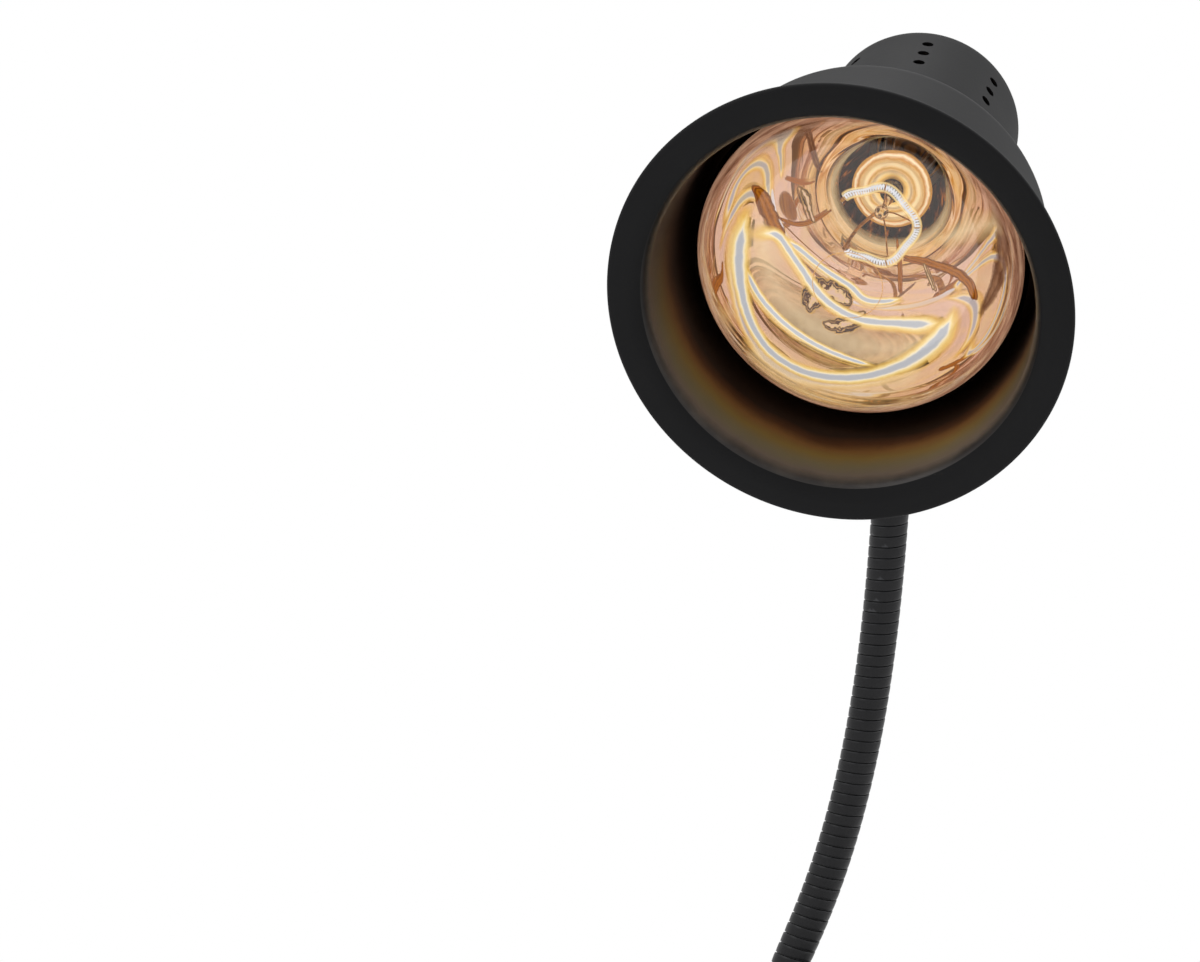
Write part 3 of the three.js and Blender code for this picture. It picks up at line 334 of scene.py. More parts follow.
# The marks are pad-printed in white: a bar on the pressed half of the rocker and a ring on the
# raised one, in ink 0.05 mm thick
white_ink, tree = material("pad_printed_white")
where = add(tree, "TexCoord").outputs["Object"]
thin = add(tree, "TexNoise", {"Vector": where, "Scale": 4000.0, "Detail": 2.0})
tone = add(tree, "ValToRGB", {"Fac": thin.outputs["Fac"]},
           stops=[(0.3, linear("c9c9c6")), (0.6, linear("efefec"))])
shader = add(tree, "BsdfPrincipled", {"Base Color": tone.outputs["Color"], "Roughness": 0.5})
add(tree, "OutputMaterial", {"Surface": shader.outputs["BSDF"]})
ROCKER_PIVOT = SWITCH_SPOT + [0, 0, 46.6]
HALF_SLOPE, ROCKED, VALLEY_LIFT = 12, 12, 1.4
INK_BOTTOM, INK_TOP = -0.03, 0.05


def on_rocker(grid, half):
    """Shapes drawn flat, laid on the front (-1) or back (1) half of the rocker: turned up from
    its valley by the half's slope, lifted, and turned again with the rocked rocker about X."""
    for angle, lift in ((np.radians(HALF_SLOPE) * half, VALLEY_LIFT), (np.radians(ROCKED), 0)):
        x, y, z = np.moveaxis(grid, -1, 0)
        grid = np.stack([x, y * np.cos(angle) - z * np.sin(angle),
                         y * np.sin(angle) + z * np.cos(angle) + lift], -1)
    return ROCKER_PIVOT + grid


bar = surface("mark_on", on_rocker(brick([-0.3, -6, INK_BOTTOM], [0.3, -3.2, INK_TOP]), -1),
              closed_rows=False)
ring = surface("mark_off", on_rocker(revolve([
    [1.1, INK_BOTTOM], [1.55, INK_BOTTOM], [1.55, INK_TOP], [1.1, INK_TOP]], 48) + [0, 4.6, 0], 1))
for mark in (bar, ring):
    give(mark, white_ink)
    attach(mark, "rocker")


# Terminal block and the ceramic of the lampholder.
# Pressed steatite with a clear glaze: ivory white, glossy, with pinholes and faint specks.

ceramic, tree = material("glazed_steatite")
where = add(tree, "TexCoord").outputs["Object"]
specks = add(tree, "TexNoise", {"Vector": where, "Scale": 1400.0, "Detail": 2.0})
tone = add(tree, "ValToRGB", {"Fac": specks.outputs["Fac"]},
           stops=[(0.28, linear("b9b09c")), (0.38, linear("e9e4d8"))])
relief = add(tree, "Bump", {"Height": specks.outputs["Fac"], "Strength": 0.1, "Distance": 0.0002})
shader = add(tree, "BsdfPrincipled", {"Base Color": tone.outputs["Color"], "Roughness": 0.22,
                                      "Normal": relief.outputs["Normal"]})
add(tree, "OutputMaterial", {"Surface": shader.outputs["BSDF"]})
give(nodes["terminal_block"], ceramic)


# Collars of the neck.
# Turned steel sleeves with a flange, coated like the housing. One stands on the base and one on
# the shade's cap, and each holds an end of the neck.

HEAD_RISE, HEAD_TURN = np.radians([30.8, 16.9])
HEAD_AXIS = np.array([np.sin(HEAD_TURN) * np.cos(HEAD_RISE),
                      np.cos(HEAD_TURN) * np.cos(HEAD_RISE), np.sin(HEAD_RISE)])
HEAD_RIGHT = np.array([np.cos(HEAD_TURN), -np.sin(HEAD_TURN), 0])
HEAD_FRAME = np.stack([HEAD_RIGHT, np.cross(HEAD_AXIS, HEAD_RIGHT), HEAD_AXIS])
CLEARANCE = 0.3
SOCKET_FLOOR = 4.7
NECK_SEAT = CLEARANCE + SOCKET_FLOOR + CLEARANCE
NECK_START = NECK_FOOT + [0, 0, BASE_TOP + NECK_SEAT]
NECK_END = NECK_START + [52.7, -246.8, 437.2]
SHADE_DEPTH = 199.4
RIM = NECK_END - HEAD_AXIS * (SHADE_DEPTH + NECK_SEAT)
INTO_HEAD = {"Rotation": Matrix(HEAD_FRAME.tolist()).to_euler(),
             "Location": (-HEAD_FRAME @ RIM / 1000).tolist()}


def in_head(grid):
    """Points of the head's own frame, Z back along the shade's axis from its rim, in the part's
    frame: rim + x right + y down + z axis."""
    return RIM + grid @ HEAD_FRAME


def collar_profile(flange):
    """Section of a collar: bored flange, fillet, sleeve with a rounded top, and the socket."""
    return [[TUBE_HOLE, 0], [flange - 0.4, 0], [flange, 0.4], arc(flange - 0.9, 2.6, 0.9, 0, 90, 4),
            arc(14.9, 6.5, 3, 270, 180, 5), arc(10.8, 17.6, 1.1, 0, 90, 4),
            arc(9.8, 18.2, 0.5, 90, 180, 2), [9.3, SOCKET_FLOOR],
            [TUBE_HOLE, SOCKET_FLOOR]]


base_collar = surface("foot_collar", NECK_FOOT + [0, 0, BASE_TOP + CLEARANCE]
                      + revolve(collar_profile(19), 96))
head_collar = surface("cap_collar", in_head(
    revolve(collar_profile(15), 96) + [0, 0, SHADE_DEPTH + CLEARANCE]))
for piece, node, body in ((base_collar, "base_collar", "base"),
                          (head_collar, "head_collar", "head")):
    give(piece, black_coat)
    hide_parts(node)
    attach(piece, body)


# Flexible neck.
# Steel strip wound in a right-handed helix, each turn's rear edge tucked under the next one, and
# coated semi-gloss black. The turns rub at their edges when the neck is bent.

NECK_LINKS = 16
TURNS_PER_LINK = 7
STEPS_PER_TURN = 56
HEADING_STEP = 0.8
STRIP_LAG = 0.58
STRIP_TRIM = 0.2
BLEND_TRIM = 0.9


def bezier(a, b, c, d, share):
    """Cubic Bezier curve: (1-t)^3 a + 3(1-t)^2 t b + 3(1-t) t^2 c + t^3 d."""
    t = share[:, None]
    return (1 - t) ** 3 * a + 3 * (1 - t) ** 2 * t * b + 3 * (1 - t) * t ** 2 * c + t ** 3 * d


def aimed(turn, rise):
    """Unit heading that turns from +Y towards +X and then rises."""
    turn, rise = np.radians([turn, rise])
    return np.array([np.sin(turn) * np.cos(rise), np.cos(turn) * np.cos(rise), np.sin(rise)])


UP = np.array([0, 0, 1])
STRAIGHT_END = 19
neck_stops = [(NECK_START + UP * STRAIGHT_END, UP, 0, 25),
              (NECK_START + [17.9, -4.1, 83], aimed(103, 66.3), 25, 68),
              (NECK_START + [55.8, -41.8, 278.1], aimed(169.5, 74.1), 67, 75),
              (NECK_END + HEAD_AXIS * STRAIGHT_END, -HEAD_AXIS, 112, 0)]
share = np.linspace(0, 1, 1500)
path = [NECK_START + UP * STRAIGHT_END * share[:, None]]
for (a, heading_a, _, after), (b, heading_b, before, _) in zip(neck_stops, neck_stops[1:]):
    path.append(bezier(a, a + heading_a * after, b - heading_b * before, b, share))
path.append(neck_stops[-1][0] - HEAD_AXIS * STRAIGHT_END * share[:, None])
path = np.vstack(path)
path_length = np.concatenate([[0], np.cumsum(np.linalg.norm(np.diff(path, axis=0), axis=1))])
NECK_LENGTH = path_length[-1]
PITCH = NECK_LENGTH / (NECK_LINKS * TURNS_PER_LINK)


def neck_frame(distance):
    """Point, heading and two cross directions at a distance along the neck's centre line."""
    def at(length):
        return np.stack([np.interp(length, path_length, path[:, k]) for k in range(3)], -1)
    heading = at(distance + HEADING_STEP) - at(distance - HEADING_STEP)
    heading /= np.linalg.norm(heading, axis=-1, keepdims=True)
    across = np.array([1, 0, 0]) - heading * heading[..., :1]
    across /= np.linalg.norm(across, axis=-1, keepdims=True)
    return at(distance), heading, across, np.cross(heading, across)


# The strip's section for one turn: distance along the neck in shares of the pitch, and radius
strip_section = np.array([
    [1.16, 7.55], [1.16, 8.1], [1.03, 8.12], [1.005, 8.5], [0.985, 8.86], [0.95, 9.0],
    [0.75, 9.02], [0.5, 9.0], [0.28, 8.95], [0.13, 8.88], [0.095, 8.78], [0.08, 8.55],
    [0.08, 8.3], [0.5, 8.35], [0.92, 8.3], [0.97, 7.6]])

black_strip, tree = material("black_coated_strip")
where = add(tree, "TexCoord").outputs["Object"]
lines = add(tree, "TexNoise", {"Vector": where, "Scale": 1500.0, "Detail": 2.0})
clouds = add(tree, "TexNoise", {"Vector": where, "Scale": 70.0, "Detail": 4.0})
tone = add(tree, "ValToRGB", {"Fac": clouds.outputs["Fac"]},
           stops=[(0.3, linear("121214")), (0.72, linear("19191b"))])
edges = add(tree, "NewGeometry")
worn = add(tree, "MapRange", {"Value": edges.outputs["Pointiness"], "From Min": 0.53,
                              "From Max": 0.62, "To Min": 0.0, "To Max": 0.55})
rubbed = add(tree, "Mix", {0: worn.outputs["Result"], 6: tone.outputs["Color"],
                           7: linear("4a4a4d")}, data_type="RGBA")
rough = add(tree, "MapRange", {"Value": clouds.outputs["Fac"], "To Min": 0.3, "To Max": 0.46})
relief = add(tree, "Bump", {"Height": lines.outputs["Fac"], "Strength": 0.12, "Distance": 0.0002})
shader = add(tree, "BsdfPrincipled", {"Base Color": rubbed.outputs[2],
                                      "Roughness": rough.outputs["Result"],
                                      "Specular IOR Level": 0.24,
                                      "Normal": relief.outputs["Normal"]})
add(tree, "OutputMaterial", {"Surface": shader.outputs["BSDF"]})


def wound_strip(name, first_turn, last_turn):
    """The strip between two turn counts: at angle a its section stands at distance
    pitch * (a / 2 pi + x - lag) along the centre line, at radius r in direction a."""
    count = int(round((last_turn - first_turn) * STEPS_PER_TURN)) + 1
    turn = np.linspace(first_turn, last_turn, count)[:, None]
    distance = np.clip(PITCH * (turn + strip_section[:, 0] - STRIP_LAG), HEADING_STEP,
                       NECK_LENGTH - HEADING_STEP)
    centre, _, across, fore = neck_frame(distance)
    angle = 2 * np.pi * turn[..., None]
    reach = strip_section[:, 1, None]
    grid = centre + reach * (np.cos(angle) * across + np.sin(angle) * fore)
    return surface(name, grid, closed_rows=False, capped=True)


turn_stops = [STRIP_TRIM] + [TURNS_PER_LINK * (i + 0.5) for i in range(NECK_LINKS)] + [
    TURNS_PER_LINK * NECK_LINKS - STRIP_TRIM]
for i in range(NECK_LINKS + 1):
    piece = wound_strip(f"neck_strip_{i + 1:02d}", turn_stops[i], turn_stops[i + 1])
    give(piece, black_strip)
    if i == 0:
        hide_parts("neck_link_01")
        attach(piece, "base")
    elif i == NECK_LINKS:
        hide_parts("neck_link_16")
        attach(piece, "head")
    else:
        ends = PITCH * (np.array([turn_stops[i], turn_stops[i + 1]]) + [BLEND_TRIM, -BLEND_TRIM])
        start, end = (neck_frame(np.array(length))[0] / 1000 for length in ends)
        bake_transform(piece)
        if i < NECK_LINKS - 1:
            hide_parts(f"neck_link_{i + 1:02d}")
    if i == NECK_LINKS - 1:
        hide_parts("neck_link_15")


# Shade.
# Spun from one aluminium disc: a rolled lip, a skirt, a rounded shoulder and a cap with rows of
# punched vents. Satin black outside; the inside carries painted lamplight in olive and gold, and painted
# shade.

SHADE_SIDES = 288
VENT_ROWS, VENTS_PER_ROW = 8, 3
VENT_RADIUS, VENT_PITCH, FIRST_VENT = 2.35, 11, 156.5
VENT_ROW_TURN = 12.5
DRILL_FROM, DRILL_TO = 36, 44
SHADE_WALL = 1
FLARE, FLARE_BEND = np.array([79, 8]), 7
SKIRT = np.array([[71.2, 18], [70, 34], [68.7, 52]])
SHOULDER, SHOULDER_BEND = np.array([51.9, 69.7]), 15.6
SLOPE = 12.5
FOOT_BEND = 7
CAP_RADIUS, CAP_BEND = 40.3, 9.2


def shade_side(inset):
    """The shade's side moved inwards by inset, as arcs of circles and straight lines: flare, skirt,
    shoulder, slope, cap foot, cap and the cap's end."""
    slope = np.radians(SLOPE)
    bend, foot = SHOULDER_BEND - inset, FOOT_BEND + inset
    start = SHOULDER + bend * np.array([np.sin(slope), np.cos(slope)])
    foot_middle = CAP_RADIUS + FOOT_BEND
    climb = (start[0] - foot_middle + foot * np.sin(slope)) * np.tan(slope)
    cap_foot = start[1] + climb + foot * np.cos(slope)
    return [arc(*FLARE, FLARE_BEND + inset, 270, 180, 12 if inset else 8), SKIRT - [inset, 0],
            arc(*SHOULDER, bend, 0, 90 - SLOPE, 12),
            arc(foot_middle, cap_foot, foot, 270 - SLOPE, 180, 8),
            np.stack([np.full(22, CAP_RADIUS - inset), np.linspace(100, 187, 22)], -1),
            arc(CAP_RADIUS - CAP_BEND, SHADE_DEPTH - CAP_BEND, CAP_BEND - inset, 0, 90, 9),
            np.array([[18, SHADE_DEPTH - inset], [TUBE_HOLE, SHADE_DEPTH - inset]])]


lip = arc(84.1, 1.6, 1.6, -90, 90, 8)
shade_profile = [lip, *shade_side(0), *[part[::-1] for part in shade_side(SHADE_WALL)[::-1]]]
shade = surface("spun_shade", in_head(revolve(shade_profile, SHADE_SIDES)))
vents = []
for row in range(VENT_ROWS):
    angle = np.radians(VENT_ROW_TURN + row * 360 / VENT_ROWS)
    outward = np.array([np.cos(angle), np.sin(angle), 0])
    sideways = np.array([-np.sin(angle), np.cos(angle), 0])
    for i in range(VENTS_PER_ROW):
        drum = revolve([[0, DRILL_FROM], [VENT_RADIUS, DRILL_FROM], [VENT_RADIUS, DRILL_TO],
                        [0, DRILL_TO]], 40)
        grid = (drum[..., :1] * sideways + drum[..., 1:2] * [0, 0, 1] + drum[..., 2:] * outward
                + [0, 0, FIRST_VENT + VENT_PITCH * i])
        vents.append(surface(f"vent_{row}_{i}", in_head(grid), closed_columns=False))
cutter = vents[0]
with bpy.context.temp_override(active_object=cutter, selected_editable_objects=vents):
    bpy.ops.object.join()
punched(shade, cutter)

# The enamel inside is thin. Its colour carries painted lamplight and painted shade: ash brown at the
# mouth, gold and olive painted where the lamp shines on it, brown and then black towards the bulb
# for painted shade, and the light painted mostly low down
lamplit_coat, tree = material("enamel_painted_lamplight")
where = add(tree, "TexCoord").outputs["Object"]
where = add(tree, "Mapping", {"Vector": where, **INTO_HEAD}).outputs["Vector"]
part = add(tree, "SeparateXYZ", {"Vector": where})
depth = add(tree, "MapRange", {"Value": part.outputs["Z"], "From Min": 0.0, "From Max": 0.08})
smoke = add(tree, "TexNoise", {"Vector": where, "Scale": 28.0, "Detail": 4.0, "Roughness": 0.6})
shift = add(tree, "Math", {0: smoke.outputs["Fac"], 1: 0.12, 2: -0.06}, operation="MULTIPLY_ADD")
place = add(tree, "Math", {0: depth.outputs["Result"], 1: shift.outputs["Value"]}, operation="ADD")
tone = add(tree, "ValToRGB", {"Fac": place.outputs["Value"]},
           stops=[(0.03, linear("302c2a")), (0.1, linear("6c6156")), (0.18, linear("756a4c")),
                  (0.26, linear("846c36")), (0.33, linear("80592c")), (0.39, linear("4c2c14")),
                  (0.46, linear("0a0605")), (1.0, linear("030303"))])
# Painted shade: the tones fade to near black away from the lower side, where the light is painted
low = add(tree, "VectorMath", {0: where, 1: (-2.5, 12.0, 0.0)}, operation="DOT_PRODUCT")
shine = add(tree, "MapRange", {"Value": low.outputs["Value"], "From Min": -0.25, "From Max": 0.75,
                               "To Min": 0.02, "To Max": 1.0}, interpolation_type="SMOOTHSTEP")
lit_and_shaded = add(tree, "Mix", {0: shine.outputs["Result"], 6: linear("080707"),
                            7: tone.outputs["Color"]}, data_type="RGBA")
peel = add(tree, "TexNoise", {"Vector": where, "Scale": 700.0, "Detail": 2.0})
relief = add(tree, "Bump", {"Height": peel.outputs["Fac"], "Strength": 0.12, "Distance": 0.0003})
shader = add(tree, "BsdfPrincipled", {"Base Color": lit_and_shaded.outputs[2], "Roughness": 0.36,
                                      "Specular IOR Level": 0.25,
                                      "Normal": relief.outputs["Normal"]})
add(tree, "OutputMaterial", {"Surface": shader.outputs["BSDF"]})

give(shade, black_coat, lamplit_coat)
mesh = shade.data
centres = np.zeros(3 * len(mesh.polygons), np.float32)
normals = centres.copy()
mesh.polygons.foreach_get("center", centres)
mesh.polygons.foreach_get("normal", normals)
local = (centres.reshape(-1, 3) * 1000 - RIM) @ HEAD_FRAME.T
facing = normals.reshape(-1, 3) @ HEAD_FRAME.T
inner = ((local[:, :2] * facing[:, :2]).sum(1) < -0.3 * np.hypot(*local[:, :2].T)) & (local[:, 2] > 2.5)
inner |= (facing[:, 2] < -0.3) & (local[:, 2] > 70)
mesh.polygons.foreach_set("material_index", inner.astype(np.int32))
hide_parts("shade")
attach(shade, "head")


# Lampholder inside the cap.
# A glazed ceramic body hangs from a zinc-plated strap by two screws; a brass screw shell and a
# sprung brass contact take the bulb's cap.

for name in ("holder_strap", "holder_screw_1", "holder_screw_2", "head_nut",
             "head_threaded_tube"):
    give(nodes[name], zinc_steel)
give(nodes["holder_body"], ceramic)
for name in ("screw_shell", "holder_contact", "bulb_cap", "bulb_contact"):
    give(nodes[name], brass)


# Bulb.
# Blown glass with a clear domed face. The bowl behind it carries a vapour-deposited aluminium
# mirror with a painted rose and gold glow for the lit filament, and the throat is left bare.

BULB_FRONT = 21.2
BULB_SIDES = 192
BULB_WIDEST = np.array([63.5, 28])
BULB_THROAT = np.array([23, 99])
FACE_RADIUS, FACE_RISE = 52, 13
GLASS_WALL = 1.2
MIRROR_FRONT, MIRROR_BACK = 1.6, 1.3


def bulb_side(inset, finer=1):
    """Face, edge and bowl of the glass, an arc of a circle and two cubic Bezier curves, moved
    inwards by inset, with finer times as many points."""
    face_bend = (FACE_RADIUS ** 2 + FACE_RISE ** 2) / (2 * FACE_RISE)
    face_turn = np.degrees(np.arcsin(FACE_RADIUS / face_bend))
    face = arc(0, face_bend, face_bend - inset, 270, 270 + face_turn, 16 * finer)
    t = np.linspace(0, 1, 12 * finer + 1)[1:]
    edge = bezier(face[-1], np.array([58.5, 16.4 + inset]), BULB_WIDEST + [-inset, -8],
                  BULB_WIDEST + [-inset, 0], t)
    t = np.linspace(0, 1, 24 * finer + 1)[1:]
    bowl = bezier(BULB_WIDEST + [-inset, 0], BULB_WIDEST + [-inset, 25.6],
                  np.array([30.3 - inset, 61]), BULB_THROAT + [-inset, 0], t)
    return face, edge, bowl


def glass_shell():
    """The closed profile of the glass: outside from the face's middle to the open end, and back
    along the inside."""
    halves = []
    for inset in (0, GLASS_WALL):
        face, edge, bowl = bulb_side(inset)
        halves.append(np.vstack([face, edge, bowl, [[17 - inset, 134], [12.35 - inset, 137.7],
                                                    [12.35 - inset, 146]]]))
    return [halves[0], halves[1][::-1]]


glass, tree = material("blown_soda_glass")
shader = add(tree, "BsdfPrincipled", {"Base Color": linear("fff4ea"), "Roughness": 0.0,
                                      "IOR": 1.5, "Transmission Weight": 1.0})
add(tree, "OutputMaterial", {"Surface": shader.outputs["BSDF"]})

envelope = surface("bulb_envelope", in_head(
    revolve(glass_shell(), BULB_SIDES) + [0, 0, BULB_FRONT]), closed_columns=False)
give(envelope, glass)
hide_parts("bulb_glass")
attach(envelope, "bulb")

# Vapour-deposited aluminium: a near-perfect mirror, whose rose tint and faint rose-gold glow are
# painted for the filament's light. The blown glass under it has rings, closest at its rim and its
# throat, that bend the reflections
mirror_metal, tree = material("vapour_deposited_aluminium_painted_glow")
where = add(tree, "TexCoord").outputs["Object"]
where = add(tree, "Mapping", {"Vector": where, **INTO_HEAD}).outputs["Vector"]
flow = add(tree, "VectorMath", {0: where, 1: (1.0, 1.0, 4.0)}, operation="MULTIPLY")
tint = add(tree, "TexNoise", {"Vector": flow.outputs["Vector"], "Scale": 20.0, "Detail": 2.0,
                              "Distortion": 1.0})
tone = add(tree, "ValToRGB", {"Fac": tint.outputs["Fac"]},
           stops=[(0.3, linear("eae0dc")), (0.5, linear("e6dad6")), (0.64, linear("efe2c6")),
                  (0.75, linear("e6d8d2"))])
shader = add(tree, "BsdfPrincipled", {"Base Color": tone.outputs["Color"], "Metallic": 1.0,
                                      "Roughness": 0.02, "Emission Color": linear("cc9a78"),
                                      "Emission Strength": 0.13})
add(tree, "OutputMaterial", {"Surface": shader.outputs["BSDF"]})

BOWL_SIDE = np.vstack(bulb_side(0, 8)[1:])


def bowl_grid(turn, depth, inset):
    """Points on the bowl at a turn in radians and a depth behind the face's middle: at the
    glass's radius there, less inset."""
    reach = np.interp(depth, BOWL_SIDE[:, 1], BOWL_SIDE[:, 0]) - inset
    return np.stack(np.broadcast_arrays(reach * np.cos(turn), reach * np.sin(turn), depth), -1)


turn = np.linspace(0, 2 * np.pi, BULB_SIDES, endpoint=False)[:, None]
depth = np.linspace(24, 98.8, 220)
drift = 1.3 * np.sin(2 * turn + 0.6) + 0.9 * np.sin(3 * turn + 2)
rings = (0.05 * np.exp(-((depth - 27) / 9) ** 2) * np.sin(2 * np.pi * depth / 3.6 + drift)
         + 0.1 * np.exp(-((depth - 97) / 13) ** 2) * np.sin(2 * np.pi * depth / 5.4 + 1.5 * drift)
         + 0.06 * np.sin(2 * np.pi * depth / 21 + 2 * drift))
mirror = surface("bulb_mirror", in_head(np.concatenate(
    [bowl_grid(turn, depth, MIRROR_FRONT + rings), bowl_grid(turn, depth[::-10], MIRROR_BACK)], 1)
    + [0, 0, BULB_FRONT]), sharp=60)
give(mirror, mirror_metal)
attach(mirror, "bulb")

# The rounded edge in front of the mirror bends its light forward, drawn out into fine streaks
# that run round the bulb
# Painted reflection: glowing streaks stand in for the mirror's light seen through the edge
edge_light, tree = material("painted_mirror_light_in_the_edge")
where = add(tree, "TexCoord").outputs["Object"]
where = add(tree, "Mapping", {"Vector": where, **INTO_HEAD}).outputs["Vector"]
drawn = add(tree, "VectorMath", {0: where, 1: (1.0, 1.0, 16.0)}, operation="MULTIPLY")
streaks = add(tree, "TexNoise", {"Vector": drawn.outputs["Vector"], "Scale": 42.0, "Detail": 5.0,
                                 "Roughness": 0.62})
tone = add(tree, "ValToRGB", {"Fac": streaks.outputs["Fac"]},
           stops=[(0.33, linear("4a2c1c")), (0.42, linear("8a6450")), (0.52, linear("a98570")),
                  (0.6, linear("c2a48c")), (0.68, linear("9a6c44"))])
height = add(tree, "SeparateXYZ", {"Vector": where}).outputs["Z"]
dense = add(tree, "MapRange", {"Value": height, "From Min": 0.0358, "From Max": 0.0425,
                               "To Min": 0.0, "To Max": 0.92}, interpolation_type="SMOOTHSTEP")
shader = add(tree, "BsdfPrincipled", {"Base Color": tone.outputs["Color"], "Roughness": 0.3,
                                      "Specular IOR Level": 0.1,
                                      "Alpha": dense.outputs["Result"],
                                      "Emission Color": tone.outputs["Color"],
                                      "Emission Strength": 0.75})
add(tree, "OutputMaterial", {"Surface": shader.outputs["BSDF"]})
depth = np.linspace(14.6, 27.5, 30)
edge_ring = surface("bulb_edge_light", in_head(np.concatenate(
    [bowl_grid(turn, depth, MIRROR_BACK), bowl_grid(turn, depth[::-1], MIRROR_BACK + 0.08)], 1)
    + [0, 0, BULB_FRONT]), sharp=60)
give(edge_ring, edge_light)
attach(edge_ring, "bulb")

# The bare throat behind the mirror: painted shade, dark brown where the glass shows the dark of
# the cap, with painted amber reflections as glowing streaks that run back along it
throat_shade_and_glints, tree = material("throat_painted_shade_and_reflections")
where = add(tree, "TexCoord").outputs["Object"]
where = add(tree, "Mapping", {"Vector": where, **INTO_HEAD}).outputs["Vector"]
streak = add(tree, "VectorMath", {0: where, 1: (1.0, 1.0, 0.12)}, operation="MULTIPLY")
streaks = add(tree, "TexNoise", {"Vector": streak.outputs["Vector"], "Scale": 420.0, "Detail": 3.0})
tone = add(tree, "ValToRGB", {"Fac": streaks.outputs["Fac"]},
           stops=[(0.44, linear("180a03")), (0.58, linear("4a220a")), (0.7, linear("c87a28"))])
shader = add(tree, "BsdfPrincipled", {"Base Color": tone.outputs["Color"], "Roughness": 0.4,
                                      "Specular IOR Level": 0.1,
                                      "Emission Color": tone.outputs["Color"],
                                      "Emission Strength": 0.5})
add(tree, "OutputMaterial", {"Surface": shader.outputs["BSDF"]})
throat = surface("bulb_throat", in_head(revolve(
    [[21.4, 99.6], [15.5, 133], [15.3, 133], [21.1, 99.6]], 128) + [0, 0, BULB_FRONT]))
give(throat, throat_shade_and_glints)
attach(throat, "bulb")

# Stem: a glass tube flared to the neck of the glass and pressed at its tip, with the rod and
# the button that carry the filament's supports
stem = surface("bulb_glass_stem", in_head(revolve([
    [0, 71.2], arc(0, 74, 2.8, -80, 60, 10), [1.2, 77.2], [1.2, 93.5],
    arc(3.2, 94.5, 1.0, -90, 0, 4), [4.2, 131.5], arc(9.4, 136.5, 5.2, 195, 165, 3),
    [5.6, 141], [7.8, 144.2], [10.8, 145.5], [9.7, 145.4], [6.6, 142.8], [4.3, 139.4],
    [3.0, 131.5], [3.0, 105.5], [0, 105.5]], 48) + [0, 0, BULB_FRONT]), closed_columns=False)
give(stem, glass)
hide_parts("bulb_stem")
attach(stem, "bulb")

# Heat disc: pressed aluminium with two raised rings, with painted highlights in rings by radius and
# a painted glow for the filament's light
lit_metal, tree = material("lit_aluminium_sheet")
where = add(tree, "TexCoord").outputs["Object"]
where = add(tree, "Mapping", {"Vector": where, **INTO_HEAD}).outputs["Vector"]
clouds = add(tree, "TexNoise", {"Vector": where, "Scale": 240.0, "Detail": 3.0})
flat = add(tree, "VectorMath", {0: where, 1: (1.0, 1.0, 0.0)}, operation="MULTIPLY")
out = add(tree, "VectorMath", {0: flat.outputs["Vector"]}, operation="LENGTH")
place = add(tree, "Math", {0: out.outputs["Value"], 1: 62.0}, operation="MULTIPLY")
place = add(tree, "Math", {0: clouds.outputs["Fac"], 1: 0.1, 2: place.outputs["Value"]},
            operation="MULTIPLY_ADD")
tone = add(tree, "ValToRGB", {"Fac": place.outputs["Value"]},
           stops=[(0.3, linear("8a5c22")), (0.42, linear("e6c878")), (0.52, linear("f0e4be")),
                  (0.62, linear("d0ab5c")), (0.7, linear("efe2ba")), (0.82, linear("e4cf9a")),
                  (0.88, linear("c89848")), (0.95, linear("fbf3d8")), (1.0, linear("b98a40"))])
shader = add(tree, "BsdfPrincipled", {"Base Color": tone.outputs["Color"], "Metallic": 1.0,
                                      "Roughness": 0.28, "Emission Color": tone.outputs["Color"],
                                      "Emission Strength": 0.35})
add(tree, "OutputMaterial", {"Surface": shader.outputs["BSDF"]})
out = np.linspace(4.5, 16, 60)
rings = 0.9 * np.exp(-((out - 12.8) / 0.8) ** 2) + 0.6 * np.exp(-((out - 8.4) / 0.7) ** 2)
front = np.stack([out, 98.1 - rings], -1)
disc = surface("bulb_disc", in_head(revolve(
    [front, front[::-1] + [0, 0.4]], 96) + [0, 0, BULB_FRONT]))
give(disc, lit_metal)
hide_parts("bulb_heat_disc")
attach(disc, "bulb")

# Leads and supports: nickel and molybdenum wire, painted straw-gold for the filament's light
FILAMENT_RADIUS, FILAMENT_DEPTH = 16, 61
LEAD_TURNS = (-137, 146)
LEAD_RADIUS, SUPPORT_RADIUS, EYE_RADIUS = 0.7, 0.3, 1.7
SUPPORT_TURNS = (-70, 5, 80)


def swept(name, line, radius, sides):
    """A round rod along a line of points: at each a circle across the heading, in directions
    carried on from the point before with the least turn."""
    heading = np.gradient(line, axis=0)
    heading /= np.linalg.norm(heading, axis=1, keepdims=True)
    across = np.zeros_like(line)
    across[-1] = np.eye(3)[np.argmin(abs(heading[0]))]
    for k in range(len(line)):
        across[k] = across[k - 1] - heading[k] * (across[k - 1] @ heading[k])
        across[k] /= np.linalg.norm(across[k])
    angle = np.linspace(0, 2 * np.pi, sides, endpoint=False)[:, None]
    grid = line[:, None] + radius * (np.cos(angle) * across[:, None]
                                     + np.sin(angle) * np.cross(heading, across)[:, None])
    return surface(name, grid, closed_rows=False, capped=True)


def smooth(points, steps):
    """Catmull-Rom curve through points, with its ends doubled."""
    points = np.array([points[0], *points, points[-1]], float)
    t = np.linspace(0, 1, steps, endpoint=False)[:, None]
    spans = [0.5 * (2 * b + (c - a) * t + (2 * a - 5 * b + 4 * c - d) * t ** 2
                    + (3 * b - a - 3 * c + d) * t ** 3)
             for a, b, c, d in zip(points, points[1:], points[2:], points[3:])]
    return np.vstack([*spans, points[-1:]])


def on_ring(turn, radius, depth):
    """Point of the bulb at a turn about the head's axis, a radius and a depth behind its face."""
    turn = np.radians(turn)
    return np.array([radius * np.cos(turn), radius * np.sin(turn), depth])


